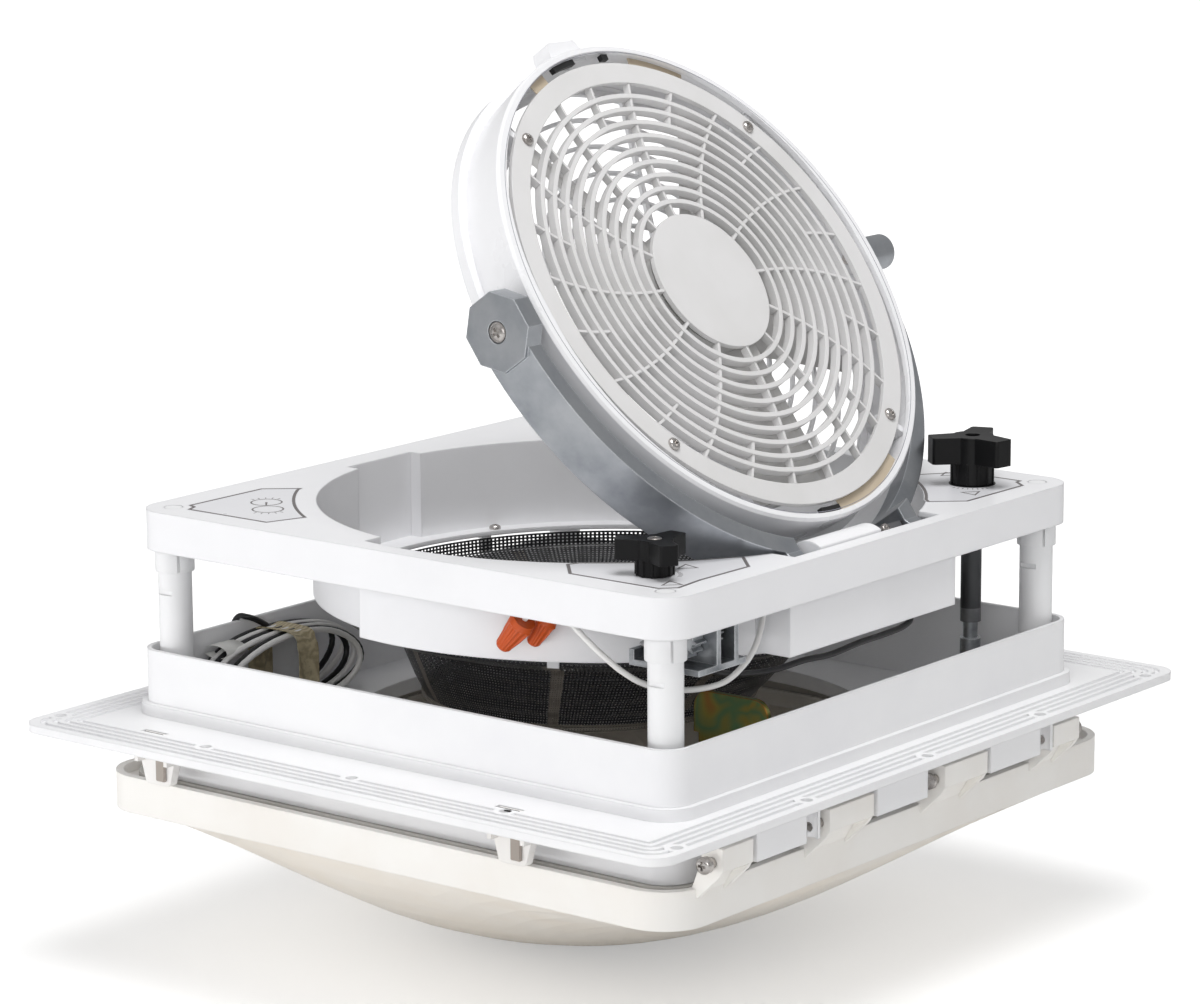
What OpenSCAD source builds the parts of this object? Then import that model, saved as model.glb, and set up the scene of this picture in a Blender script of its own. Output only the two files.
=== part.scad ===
// Roof vent fan, seen as it stands before it is fitted: frame up, lid down.
// z = 0 is the flange face that seats on the roof, X and Y pass through the
// middle of the roof screw pattern.

/* [Flange and neck] */
// Flange length across the lid hinge
flange_x = 416.8; // [410:0.2:430]
// Flange length along the lid hinge
flange_y = 457.2; // [445:0.2:480]
// Flange thickness
flange_t = 4.25; // [3.5:0.25:5.5]
// Flange corner radius
flange_r = 13.5; // [8:0.5:20]
// Sealant grooves that run round the flange
groove_n = 4; // [2:1:4]
// Width of a sealant groove
groove_w = 2.6; // [1.6:0.2:3]
// Depth of a sealant groove
groove_d = 1.2; // [0.6:0.1:1.6]
// Roof screw spacing across the hinge
screw_x = 402; // [400:0.5:404]
// Roof screw spacing along the hinge
screw_y = 410; // [400:0.5:430]
// Roof screw hole diameter
screw_hole = 6; // [4.5:0.5:6.5]
// Outer width of the square neck
neck_w = 350; // [348:0.5:353]
// Wall of the neck
neck_wall = 2.5; // [2:0.1:3]
// Height of the neck rim above the flange
neck_h = 34.25; // [28:0.25:38]
// Corner radius of the neck
neck_r = 14; // [10:0.5:18]
// Width of the curb step round the neck
step_w = 3.4; // [2:0.2:4]
// Height of the curb step
step_h = 6.2; // [4:0.2:8]
// Depth of the throat floor under the flange face
floor_z = 12; // [10:0.5:13]
// Thickness of the throat floor
floor_t = 2; // [1.5:0.25:2.5]
// Radius of the air hole in the floor
throat_r = 139; // [136:0.5:141]
// Depth of the curb ring under the flange face
curb_z = 20; // [17:0.5:22]
// Depth of the outer skirt under the flange face
skirt_z = 31; // [30:0.25:32]

/* [Trim frame and well] */
// Height of the frame face above the roof seat
frame_z = 107.85; // [107:0.25:112]
// Height of the frame edge
frame_h = 21; // [18:0.5:24]
// Corner radius of the frame
frame_r = 17; // [14:0.5:18]
// Thickness of the frame face
plate_t = 3; // [2.5:0.25:3.5]
// Wall of the frame edge, the well and the hinge housing
wall = 2.5; // [2:0.1:3]
// Height of the well floor's underside
well_z = 58.7; // [57:0.1:59.5]
// Post spacing, both ways
post_pitch = 320; // [318:0.5:321]
// Post diameter
post_d = 17.5; // [15:0.5:18]
// Depth that the sleeves reach below the frame edge
sleeve_drop = 12; // [8:1:20]

/* [Fan head] */
// Radius of the fan head at its front rim
head_r = 138.7; // [136:0.1:139.2]
// Height of the front rim in front of the tilt axis
rim_z = 11.7; // [10:0.1:13]
// Depth of the casing behind the front rim
casing_d = 29; // [27:0.5:30]
// Radius lost by the casing taper
casing_taper = 2.7; // [1:0.1:4]
// Wall of the casing
casing_t = 2.2; // [1.6:0.1:2.8]
// Height of the rear cover
cover_h = 6; // [5:0.25:6.5]
// Outer radius of the grille
grille_r = 128.8; // [126:0.1:129.5]
// Width of the grille's solid edge
grille_edge = 11.8; // [9:0.2:14]
// Width of a grille ring
bar_w = 2.6; // [1.6:0.2:3]
// Depth of the grille bars
bar_h = 4.8; // [3:0.2:5]
// Radius of the plain centre disc
disc_r = 38.7; // [34:0.1:44]
// Number of rings between disc and edge
ring_n = 9; // [6:1:9]
// Number of long curved spokes
spoke_n = 12; // [8:1:12]
// Lag of a long spoke at the edge, in degrees
spoke_lag = 9.5; // [6:0.5:12]
// Number of blades
blade_n = 5; // [3:1:6]
// Blade tip radius
blade_r = 116.5; // [105:0.5:117]
// Blade pitch at the middle, in degrees
blade_pitch = 27; // [20:1:30]
// Motor radius
motor_r = 27; // [22:0.5:28]

/* [Yoke and hinge] */
// Running gap between fan head and yoke
yoke_gap = 10.7; // [9:0.1:11.2]
// Radial thickness of the yoke
yoke_t = 9.4; // [8:0.1:10]
// Yoke width on the front side of the tilt axis
yoke_f = 11.4; // [10:0.1:12]
// How much lower the front edge of the far arm is
yoke_drop = 15.9; // [0:0.1:17]
// Yoke width on the rear side of the tilt axis
yoke_b = 15.1; // [13:0.1:16]
// Width across the flats of the pivot bosses
boss_w = 37; // [30:0.5:39]
// Pivot screw diameter
pivot_d = 6; // [5:0.25:7]
// Hinge shaft diameter
hinge_d = 8; // [6:0.25:9]
// Height of the yoke hinge above the roof seat
hinge_z = 97; // [96.5:0.1:97.5]
// Swing of the yoke from stowed to the pose shown, in degrees
swing = 54.2; // [0:0.1:90]

/* [Fan drive] */
// Tooth size of the spur pair
spur_m = 1; // [0.98:0.005:1]
// Teeth on the hinge gear
hinge_teeth = 13; // [13:1:13]
// Teeth on the lay gear
lay_teeth = 23; // [23:1:23]
// Sideways offset of the lay shaft from the hinge
lay_dx = 8; // [7:0.25:9]
// Teeth on a worm wheel
wheel_teeth = 14; // [14:1:14]
// Pitch radius of a worm wheel
wheel_r = 10.5; // [10:0.1:10.6]
// Pitch radius of the fan worm
fan_worm_r = 6.5; // [6.2:0.1:7]
// Distance of both knobs from the middle along the hinge
knob_y = 136; // [134:0.5:137]
// Fan knob span
fan_knob_w = 38; // [30:1:44]
// Top of the fan knob above the frame face
fan_knob_h = 18; // [15:0.5:24]

/* [Lid drive] */
// Pitch radius of the lid worm
lid_worm_r = 7.5; // [7.2:0.1:8]
// Lift shaft diameter
lift_d = 10; // [8:0.5:11]
// Depth of the lift shaft under the roof seat
lift_z = 34; // [33.5:0.25:34.5]
// Length of the lift arm
lift_len = 95; // [94:0.25:96]
// Start angle of the lift arm under the level, in degrees
lift_start = 8; // [7.5:0.25:8.5]
// Turns of the lift arm for one of the lid
lift_ratio = 1.9; // [1.88:0.01:1.92]
// Opening angle of the lid, in degrees
lid_open = 75; // [60:1:75]
// Roller diameter on the arm's tip
roller_d = 8; // [7:0.25:8.5]
// Telescopic shaft diameter
tele_d = 11; // [10:0.5:12]
// Lid knob span
lid_knob_w = 46; // [40:1:46]
// Top of the lid knob above the frame face
lid_knob_h = 26; // [22:0.5:32]

/* [Lid] */
// Gap between the skirt and the inside of the lid
lid_gap = 7; // [6.5:0.1:7.5]
// Extra half length of the lid along its hinge
lid_extra = 3; // [2:0.25:4]
// Wall of the lid
lid_wall = 4; // [3.5:0.1:4.2]
// Depth of the lid rim under the roof seat
lid_top = 29.7; // [29.2:0.1:30]
// Depth of the lid edge under the roof seat
lid_edge = 49.2; // [48.5:0.1:51]
// Corner radius of the lid
lid_r = 24; // [20:0.5:28]
// Height of the dome
dome_h = 82; // [70:1:96]
// How far the dome's deepest point lies toward the free edge
dome_lean = 36; // [0:1:50]
// Thickness of the dome
dome_t = 3; // [2.5:0.1:3.2]
// Lid hinge axis outside the skirt
lid_hinge_dx = 20; // [19.5:0.1:20.2]
// Depth of the lid hinge axis under the roof seat
lid_hinge_z = 15; // [14.75:0.05:15.25]
// Lid hinge pin diameter
pin_d = 5; // [4:0.25:5.5]

/* [Screen and wiring] */
// Radius of the screen basket's bottom
basket_r = 86.5; // [80:0.5:92]
// Height of the screen basket's bottom above the roof seat
basket_z = 1.1; // [0:0.1:6]
// Thickness of the screen cloth
cloth_t = 1.2; // [1:0.1:1.5]
// Lead diameter
lead_d = 3.2; // [2.6:0.1:3.4]
// Loops in each wire coil
coil_n = 3; // [2:1:3]
// Half length of the coil's loops
coil_a = 50; // [42:1:54]
// Half height of the coil's loops
coil_b = 19; // [14:0.5:20]

/* [Hidden] */
// Clearances: running fit, sliding pieces that pass, seat of a loose piece
fit = 0.1;
gap = 0.5;
seat = 0.3;
fine = 96;

// Derived sizes of the base
frame_w = neck_w - 0.2;
skirt_w = neck_w + 6;
curb_t = 3;
face_z = frame_z - plate_t;
edge_z = frame_z - frame_h;
in_w = neck_w / 2 - neck_wall;
groove_first = 5;
groove_pitch = 5.2;

// Derived sizes of the fan head, yoke and well
yoke_ri = head_r + yoke_gap;
yoke_ro = yoke_ri + yoke_t;
hinge_x = yoke_ro + 1.2;
arm_b = 9.9;
pivot_stow_z = hinge_z - arm_b;
well_r = head_r + 13.8;
yoke_well_r = yoke_ro + 5.5;
vent_r = head_r + 3.3;
well_step = 27;
notch_x = well_r + 5.5;
notch_y0 = -28;
notch_y1 = 24;
boss_y0 = head_r + 1.8;
boss_y1 = yoke_ro + 1.2;
cover_z = rim_z - casing_d;
bezel_r = grille_r + 1.7;
crescent = 4.5;
grille_z = rim_z - 1.6;
grille_h = 2.6;
grille_screw_r = grille_r - 6.3;
grille_screw_a = [40.7, 130.7, 220.7, 310.7];
hub_r = motor_r + 9;

// Derived sizes of the hinge housing
house_x0 = hinge_x - 11.5;
house_x1 = hinge_x + 10;
house_y0 = -74;
house_y1 = 69;
house_z0 = well_z + 1.3;
open_x = hinge_x + 5.3;
open_y0 = -64;
open_y1 = 61;
lug_y0 = 45;
lug_y1 = 56;

// Derived sizes of the fan drive
spur_d = spur_m * (hinge_teeth + lay_teeth) / 2;
lay_x = hinge_x - lay_dx;
lay_z = hinge_z - sqrt(spur_d * spur_d - lay_dx * lay_dx);
lead = 2 * PI * wheel_r / wheel_teeth;
fan_worm_x = lay_x - wheel_r - fan_worm_r;
spur_y = -knob_y + 12;

// Derived sizes of the lid and its drive
skirt_x = skirt_w / 2;
lid_in = skirt_x + lid_gap;
lid_hx = lid_in + lid_wall;
lid_hy = lid_hx + lid_extra;
ledge_z = skirt_z + 4;
lid_hinge_x = skirt_x + lid_hinge_dx;
lift_x = fan_worm_x - wheel_r - lid_worm_r;
lid_knob_x = fan_worm_x;
arm_y = -64;
arm_t = 3;
bracket_hole_x = [lift_x + 14.5, lift_x + 24.5];
bracket_hole_y = arm_y - 4;
bracket_hole_d = 3.6;
track_y = -72;
track_t = 4;

// Path of the arm's tip in the lid's own frame, with the lid opened by b
function tip_w(b) = [lift_x - lift_len * cos(lift_start + lift_ratio * b) - lid_hinge_x,
  -lift_z - lift_len * sin(lift_start + lift_ratio * b) + lid_hinge_z];
function tip_l(b) = [lid_hinge_x + tip_w(b)[0] * cos(b) + tip_w(b)[1] * sin(b),
  -lid_hinge_z - tip_w(b)[0] * sin(b) + tip_w(b)[1] * cos(b)];
slot_a = tip_l(0);
slot_b = tip_l(lid_open);
slot_x0 = min([for (i = [0:15]) tip_l(lid_open * i / 15)[0]]);
slot_x1 = max([for (i = [0:15]) tip_l(lid_open * i / 15)[0]]);
slot_k = (slot_b[1] - slot_a[1]) / (slot_b[0] - slot_a[0]);
slot_dev = [for (i = [0:15]) tip_l(lid_open * i / 15)[1] - slot_a[1]
  - slot_k * (tip_l(lid_open * i / 15)[0] - slot_a[0])];
slot_mid = (max(slot_dev) + min(slot_dev)) / 2;
slot_w = roller_d + (max(slot_dev) - min(slot_dev)) + 0.9;
slot_z0 = slot_a[1] + slot_mid + slot_k * (slot_x0 - slot_a[0]);
slot_l = (slot_x1 - slot_x0) / cos(atan(slot_k));

// Clip, tab and plate places along the flange and the hinge
clip_x = [-138.5, 96.5];
base_tabs = [[-147, -96], [-48, 3], [52, 109.6]];
lid_tabs = [[-174, -150], [-88, -51], [11, 49], [111, 135]];
pin_spans = [[-178, -116], [-92, -14], [7, 89], [139, 103]];
screw_cols = [-1, 0, 1];

// Lead routes, round numbers
white_pts = [[78, -165, 83.5], [82, -165, 88], [88, -165.5, 91], [97, -166, 91.5], [107, -167, 88],
  [114, -168, 83], [124, -164, 73], [132, -156, 63], [139, -146, 56], [149, -130, 52],
  [157, -112, 53], [161, -100, 60], [161, -90, 68], [159, -82, 78], [158, -79, 86],
  [158, -76.5, 90], [158, -74, 90]];
black_pts = [[148, -112, 64.1], [148, -112, 61], [149, -108, 57], [151, -98, 54], [154, -84, 52],
  [158, -68, 52], [161, -50, 52.5], [163, -30, 53], [164, -8, 53.5], [164, 14, 54],
  [164, 28, 54.5], [164, 36, 56], [164, 38, 58], [164, 38, 60]];
stub_pts = [[84, -154, 84], [87, -154, 88.5], [91, -154, 94], [94, -154, 99], [94.5, -154, 103],
  [94.5, -154, 104.85]];

module rrect(w, l, r) {
  square([w - 2 * r, l], center = true);
  square([w, l - 2 * r], center = true);
  for (i = [-1, 1], j = [-1, 1])
    translate([i * (w / 2 - r), j * (l / 2 - r)]) circle(r = r, $fn = 64);
}

module four(x, y) {
  for (i = [-1, 1], j = [-1, 1]) translate([i * x, j * y, 0]) children();
}

// Cylinder along Y between two ordinates
module ycyl(x, z, y0, y1, r) {
  translate([x, y1, z]) rotate([90, 0, 0]) cylinder(r = r, h = y1 - y0, $fn = fine);
}

// Outline in X and Z, extruded along Y between two ordinates
module yplate(y0, y1) {
  translate([0, y1, 0]) rotate([90, 0, 0]) linear_extrude(y1 - y0) children();
}

module at_yoke() {
  translate([hinge_x, 0, hinge_z]) rotate([0, swing, 0]) translate([-hinge_x, 0, -arm_b])
    children();
}

// Tubes swept along points
function unit(v) = v / norm(v);
function tangent(p, i) = unit(p[min(i + 1, len(p) - 1)] - p[max(i - 1, 0)]);
function side(t, u) = unit(u - t * (u * t));
function frames(p, u, i = 0) = i == len(p) ? [] :
  let (s = side(tangent(p, i), u)) concat([s], frames(p, s, i + 1));
function sweep_pts(p, u, r, n) = let (f = frames(p, u))
  [for (i = [0:len(p) - 1]) let (t = tangent(p, i), s = f[i], w = cross(t, s))
    for (k = [0:n - 1]) p[i] + r * (cos(360 * k / n) * s + sin(360 * k / n) * w)];
function quad(a, b, c, d) = [[a, b, c], [a, c, d]];
function sweep_faces(m, n) = concat(
  [for (i = [0:m - 2], k = [0:n - 1], f = quad(i * n + k, i * n + (k + 1) % n,
    (i + 1) * n + (k + 1) % n, (i + 1) * n + k)) f],
  [for (k = [1:n - 2]) [0, k + 1, k]],
  [for (k = [1:n - 2]) [(m - 1) * n, (m - 1) * n + k, (m - 1) * n + k + 1]]);

module sweep(p, u, r, n) {
  polyhedron(points = sweep_pts(p, u, r, n),
    faces = [for (f = sweep_faces(len(p), n)) [f[2], f[1], f[0]]]);
}

// Flange, neck and skirt, one moulding
module vent_base() {
  color("white") difference() {
    union() {
      translate([0, 0, -flange_t]) linear_extrude(flange_t) rrect(flange_x, flange_y, flange_r);
      translate([0, 0, -1]) linear_extrude(step_h + 1)
        rrect(neck_w + 2 * step_w, neck_w + 2 * step_w, neck_r + step_w);
      linear_extrude(neck_h) rrect(neck_w, neck_w, neck_r);
      translate([0, 0, -skirt_z]) linear_extrude(skirt_z) rrect(skirt_w, skirt_w, neck_r + 3);
      for (t = base_tabs) base_tab(t[0], t[1]);
    }
    translate([0, 0, -floor_z]) linear_extrude(neck_h + floor_z + 1)
      rrect(2 * in_w, 2 * in_w, neck_r - neck_wall);
    difference() {
      translate([0, 0, -skirt_z - 1]) linear_extrude(skirt_z + 1 - floor_z - floor_t)
        rrect(skirt_w - 2 * wall, skirt_w - 2 * wall, neck_r + 3 - wall);
      translate([0, 0, -curb_z]) cylinder(r = throat_r + curb_t, h = curb_z, $fn = 128);
    }
    translate([0, 0, -curb_z - 1]) cylinder(r = throat_r, h = curb_z + 1, $fn = 128);
    roof_holes();
    seal_grooves();
    for (s = [-1, 1], x = clip_x) translate([x, s * (lid_hy + 8), -flange_t / 2])
      cube([16, 3.6, flange_t + 2], center = true);
    translate([lid_knob_x, knob_y, -floor_z - floor_t - 1])
      cylinder(r = tele_d / 2 + gap, h = floor_t + 2, $fn = 48);
    for (x = bracket_hole_x) translate([x, bracket_hole_y, -floor_z - floor_t - 1])
      cylinder(d = bracket_hole_d, h = floor_t + 2, $fn = 32);
    for (t = base_tabs) ycyl(lid_hinge_x, -lid_hinge_z, t[0] - 1, t[1] + 1, pin_d / 2 + 0.02);
    for (s = screw_cols) translate([screw_x / 2, s * screw_y / 4, -lid_hinge_z - 12])
      cylinder(r = 5.5, h = lid_hinge_z + 12 - flange_t, $fn = 48);
  }
}

module base_tab(y0, y1) {
  yplate(y0, y1) {
    translate([lid_hinge_x - 6.3, -lid_hinge_z - 5]) square([12.6, lid_hinge_z + 5.5 - flange_t]);
  }
}

module roof_holes() {
  module hole() translate([0, 0, -flange_t - 1])
    cylinder(r = screw_hole / 2, h = flange_t + 2, $fn = 48);
  four(screw_x / 2, screw_y / 2) hole();
  four(screw_x / 2 * 0.4876, screw_y / 2) hole();
  four(screw_x / 2, screw_y / 4) hole();
  for (s = [-1, 1]) translate([0, s * screw_y / 2, 0]) hole();
  for (s = [-1, 1]) translate([s * screw_x / 2, 0, 0]) hole();
}

// Sealant grooves in the face that seats on the roof
module seal_grooves() {
  difference() {
    for (i = [0:groove_n - 1]) let (o = groove_first + i * groove_pitch) translate([0, 0, -groove_d])
      linear_extrude(2) difference() {
        rrect(flange_x - 2 * o, flange_y - 2 * o, max(flange_r - o / 2, 3.5));
        rrect(flange_x - 2 * (o + groove_w), flange_y - 2 * (o + groove_w),
          max(flange_r - o / 2 - groove_w, 1));
      }
    for (s = [-1, 1], i = [0, 1])
      translate([-neck_w / 2 + 10, s * (neck_w / 2 + 12 + 6 * i) - groove_w / 2, -groove_d])
        cube([neck_w - 20, groove_w, 2]);
    for (x = [-1, -0.4876, 0, 0.4876, 1], y = [-1, -0.5, 0, 0.5, 1]) if (abs(x) == 1 || abs(y) == 1)
      translate([x * screw_x / 2, y * screw_y / 2, -3]) cylinder(r = screw_hole / 2 + 3.2, h = 6, $fn = 48);
  }
}

// Spring clips hooked through the flange slots, over the long edges of the lid
module edge_clips() {
  y0 = lid_hy + 1.5;
  color("whitesmoke") for (s = [0, 1], x = clip_x) mirror([0, s, 0]) translate([x, -y0, 0])
    difference() {
      union() {
        translate([0, 0, -flange_t]) rotate([90, 0, 0]) linear_extrude(5)
          polygon([[-13, 0], [13, 0], [11.6, -12], [8.5, -23], [7, -24], [-7, -24], [-8.5, -23],
            [-11.6, -12]]);
        for (i = [-1, 1]) translate([i * 10.2 - 1.3, -10, -flange_t - 12]) cube([2.6, 8, 12]);
        translate([-7.2, -8, -flange_t - 2]) cube([14.4, 3, flange_t + 1.5]);
        translate([-7.2, -8, -flange_t - 2]) cube([14.4, 6, 2]);
      }
      translate([0.5, -11, -flange_t - 21]) cube([5.5, 12, 19]);
    }
}

// Corner posts between the throat floor and the frame
module corner_posts() {
  color("white") four(post_pitch / 2, post_pitch / 2) difference() {
    translate([0, 0, -floor_z]) cylinder(d = post_d, h = face_z + floor_z, $fn = fine);
    translate([0, 0, -floor_z - 1]) cylinder(d = post_d - 4.4, h = face_z + floor_z - 5, $fn = fine);
    translate([0, 0, face_z - 7]) cylinder(r = 2.42, h = 8, $fn = 32);
    translate([0, -post_d / 2, 64]) cube([9, 3, 2.6], center = true);
  }
}

module post_screws() {
  color("silver") four(post_pitch / 2, post_pitch / 2) {
    translate([0, 0, frame_z - 1.6]) cylinder(r = 4.5, h = 1.5, $fn = 48);
    translate([0, 0, frame_z - 18]) cylinder(r = 2.4, h = 17, $fn = 32);
  }
}

// Outline of the well, grown by o
module well2d(o) {
  circle(r = well_r + o, $fn = 144);
  intersection() {
    circle(r = yoke_well_r + o, $fn = 144);
    translate([-well_step - o, -200]) square([400, 400]);
  }
  translate([-notch_x - o, notch_y0 - o]) square([60, notch_y1 - notch_y0 + 2 * o]);
}

module house_block() {
  translate([house_x0, house_y0, house_z0])
    cube([house_x1 - house_x0, house_y1 - house_y0, face_z - house_z0]);
}

// Trim frame with the well that the stowed fan lies in
module trim_frame() {
  color("white") difference() {
    union() {
      difference() {
        translate([0, 0, edge_z]) linear_extrude(frame_h) rrect(frame_w, frame_w, frame_r);
        translate([0, 0, edge_z - 1]) linear_extrude(frame_h + 1 - plate_t)
          rrect(frame_w - 2 * wall, frame_w - 2 * wall, frame_r - wall);
      }
      translate([0, 0, well_z]) linear_extrude(face_z - well_z + 1) well2d(wall);
    }
    translate([0, 0, well_z + wall]) linear_extrude(frame_z) well2d(0);
    translate([0, 0, well_z - 1]) cylinder(r = vent_r, h = 10, $fn = 144);
    house_block();
    translate([house_x0, open_y0, face_z - 1])
      cube([open_x - house_x0, open_y1 - open_y0, plate_t + 2]);
    four(post_pitch / 2, post_pitch / 2) {
      translate([0, 0, frame_z - 1.6]) cylinder(r = 5, h = 3, $fn = 48);
      translate([0, 0, face_z - 1]) cylinder(r = 2.42, h = 4, $fn = 32);
    }
    translate([fan_worm_x, -knob_y, face_z - 1]) cylinder(r = 5 + fit, h = 5, $fn = 48);
    translate([lid_knob_x, knob_y, face_z - 1]) cylinder(d = tele_d + 2 * fit, h = 5, $fn = 48);
  }
}

// Slotted sleeves that the posts stand in
module post_sleeves() {
  h = face_z - edge_z + sleeve_drop;
  color("white") four(post_pitch / 2, post_pitch / 2) translate([0, 0, edge_z - sleeve_drop])
    difference() {
      cylinder(d = post_d + 2 * seat + 2.4, h = h, $fn = fine);
      translate([0, 0, -1]) cylinder(d = post_d + 2 * seat, h = h + 2, $fn = fine);
      for (a = [35, 145, 215, 325]) rotate([0, 0, a]) translate([5, -0.6, -1])
        cube([10, 1.2, sleeve_drop + 1]);
    }
}

module ledge_screws() {
  color("silver") for (a = [64, 154, 244]) rotate([0, 0, a]) translate([vent_r + 5, 0, well_z + wall]) {
    cylinder(r = 2.6, h = 1.1, $fn = 48);
    translate([0, 0, 1.1]) cylinder(r1 = 2.6, r2 = 1.4, h = 0.9, $fn = 48);
  }
}

// Screen basket: round at the well, drawn in and off centre at the bottom
basket_c = [[0, 0, well_z - 0.7], [0, 0, 50], [-2, -1.5, 41], [-9, -7, basket_z]];
basket_rad = [vent_r, vent_r, vent_r - 30, basket_r];
basket_n = 48;
basket_pts = concat(
  [for (i = [0:3], k = [0:basket_n - 1]) basket_c[i]
    + basket_rad[i] * [cos(360 * k / basket_n), sin(360 * k / basket_n), 0]],
  [for (i = [3:-1:0], k = [0:basket_n - 1]) basket_c[i] + [0, 0, i == 0 ? 0 : cloth_t]
    + (basket_rad[i] - cloth_t) * [cos(360 * k / basket_n), sin(360 * k / basket_n), 0]]);
module bug_screen() {
  n = basket_n;
  color("dimgray") polyhedron(points = basket_pts, faces = concat(
    [for (i = [0:7], k = [0:n - 1], f = quad(i * n + k, ((i + 1) % 8) * n + k,
      ((i + 1) % 8) * n + (k + 1) % n, i * n + (k + 1) % n)) if (i != 3) [f[2], f[1], f[0]]],
    [for (k = [1:n - 2]) [3 * n, 3 * n + k, 3 * n + k + 1]],
    [for (k = [1:n - 2]) [4 * n, 4 * n + k + 1, 4 * n + k]]));
}

// White straps that hold the screen to the well floor
module screen_straps() {
  color("white") for (a = [120, 157, 297]) rotate([0, 0, a]) {
    translate([vent_r + 0.3, -3, well_z - 1.4]) cube([9, 6, 1.4]);
    translate([vent_r + 0.3, -3, well_z - 9]) cube([1.4, 6, 9]);
  }
}

// Housing of the yoke hinge on the frame's underside
module hinge_housing() {
  color("white") difference() {
    house_block();
    translate([house_x0 - 1, house_y0 + wall, house_z0 + wall])
      cube([house_x1 - house_x0 - wall + 1, house_y1 - house_y0 - 2 * wall, 60]);
    ycyl(hinge_x, hinge_z, house_y0 - 1, house_y1 + 1, hinge_d / 2 + fit);
  }
}

// Spring barrel on the hinge shaft
module hinge_barrel() {
  color("white") difference() {
    union() {
      intersection() {
        ycyl(hinge_x - 2.5, hinge_z + 0.5, -42, 10, 13.5);
        translate([0, -50, 0]) cube([open_x - 0.4, 100, 200]);
      }
      translate([hinge_x, -38, hinge_z - 12]) cube([house_x1 - wall - hinge_x, 44, 18]);
    }
    ycyl(hinge_x, hinge_z, -43, 11, hinge_d / 2 + gap);
  }
}

// Die-cast bearing block of the fan drive
module fan_gearbox() {
  wx = fan_worm_x;
  color("gray") difference() {
    union() {
      yplate(-knob_y + 4.5, -knob_y + 7.5) translate([wx + 7.4, lay_z - 15.4])
        square([hinge_x + 9 - wx - 7.4, face_z - lay_z + 15.4]);
      yplate(-knob_y + 18.5, -knob_y + 21.5) translate([wx - 2, lay_z - 15.4])
        square([hinge_x + 11 - wx, face_z - lay_z + 15.4]);
      translate([wx - 8, -knob_y - 10, lay_z - 16.4]) cube([hinge_x + 17 - wx, 31.5, 3]);
      translate([wx - 2, -knob_y + 18.5, lay_z - 16.4]) cube([hinge_x + 11 - wx, 9, 3]);
      translate([wx - 8, -knob_y - 10, lay_z - 16.4]) cube([3, 31.5, 8]);
      ycyl(lay_x - 4, lay_z - 9.9, -knob_y + 18.5, -knob_y + 27.5, 6.5);
    }
    ycyl(lay_x, lay_z, -knob_y + 3, -knob_y + 22, 4 + fit);
    ycyl(hinge_x, hinge_z, -knob_y + 3, -knob_y + 22, hinge_d / 2 + fit);
    ycyl(lay_x - 4, lay_z - 9.9, -knob_y + 20, -knob_y + 28, 4);
    translate([wx, -knob_y, lay_z - 17]) cylinder(r = 3.5 + fit, h = 5, $fn = 48);
  }
}

// Lay shaft: worm wheel and pinion on one turned piece
module gear2d(teeth, pitch_r, tip_r, root_r, w0, w1) {
  circle(r = root_r, $fn = 64);
  for (i = [0:teeth - 1]) rotate(360 * i / teeth)
    polygon([[root_r - 0.5, -w0 / 2], [tip_r, -w1 / 2], [tip_r, w1 / 2], [root_r - 0.5, w0 / 2]]);
}

module wheel2d() {
  gear2d(wheel_teeth, wheel_r, wheel_r + 0.9, wheel_r - 1.6, 2.2, 0.9);
}

// Angle of the line from lay shaft to hinge, for the tooth phase
mesh_a = atan2(hinge_z - lay_z, lay_dx);
module lay_shaft() {
  color("darkgray") {
    ycyl(lay_x, lay_z, -knob_y - 6, -knob_y + 24, 4);
    translate([lay_x, -knob_y + 4, lay_z]) rotate([90, 0, 0]) linear_extrude(8)
      rotate(180 + 180 / wheel_teeth) wheel2d();
    translate([lay_x, spur_y + 4, lay_z]) rotate([90, 0, 0]) linear_extrude(8)
      rotate(mesh_a) gear2d(lay_teeth, spur_m * lay_teeth / 2, spur_m * (lay_teeth / 2 + 0.8),
        spur_m * (lay_teeth / 2 - 1.15), spur_m * 1.9, spur_m * 0.72);
  }
}

// Three-lobed hand knob, foot at z = 0
module lobe_knob(span, h, stem_r, head_h) {
  difference() {
    union() {
      cylinder(r = stem_r, h = h - 1, $fn = 64);
      translate([0, 0, h - head_h]) linear_extrude(head_h) {
        circle(r = span * 0.24, $fn = 64);
        for (a = [90, 210, 330]) rotate(a) {
          polygon([[0, -span * 0.17], [span * 0.46, -span * 0.13], [span * 0.46, span * 0.13],
            [0, span * 0.17]]);
          for (s = [-1, 1]) translate([span * 0.46, s * span * 0.09]) circle(r = span * 0.04, $fn = 32);
          translate([span * 0.46, -span * 0.09]) square([span * 0.04, span * 0.18]);
        }
      }
    }
    translate([0, 0, h - 2.4]) cylinder(r = 4, h = 3, $fn = 48);
    translate([0, 0, -1]) cylinder(r = 3.02, h = h + 2, $fn = 48);
  }
  for (a = [0:30:330]) rotate(a) translate([stem_r - 0.3, -0.6, 0]) cube([1, 1.2, h - head_h + 0.2]);
}

module fan_knob() {
  color("dimgray") translate([fan_worm_x, -knob_y, frame_z + gap])
    lobe_knob(fan_knob_w, fan_knob_h - gap, 9, 10);
}

module fan_knob_screw() {
  color("silver") translate([fan_worm_x, -knob_y, frame_z + fan_knob_h - 2.4])
    cylinder(r = 3.8, h = 2, $fn = 48);
}

// One worm: an eccentric round bar twisted at the wheel's pitch
module worm(pitch_r, h, z0) {
  turns = h / lead;
  rotate(360 * z0 / lead) linear_extrude(h, twist = -360 * turns, slices = ceil(10 * turns), convexity = 4)
    translate([1.2, 0]) circle(r = pitch_r, $fn = 14);
}

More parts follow.
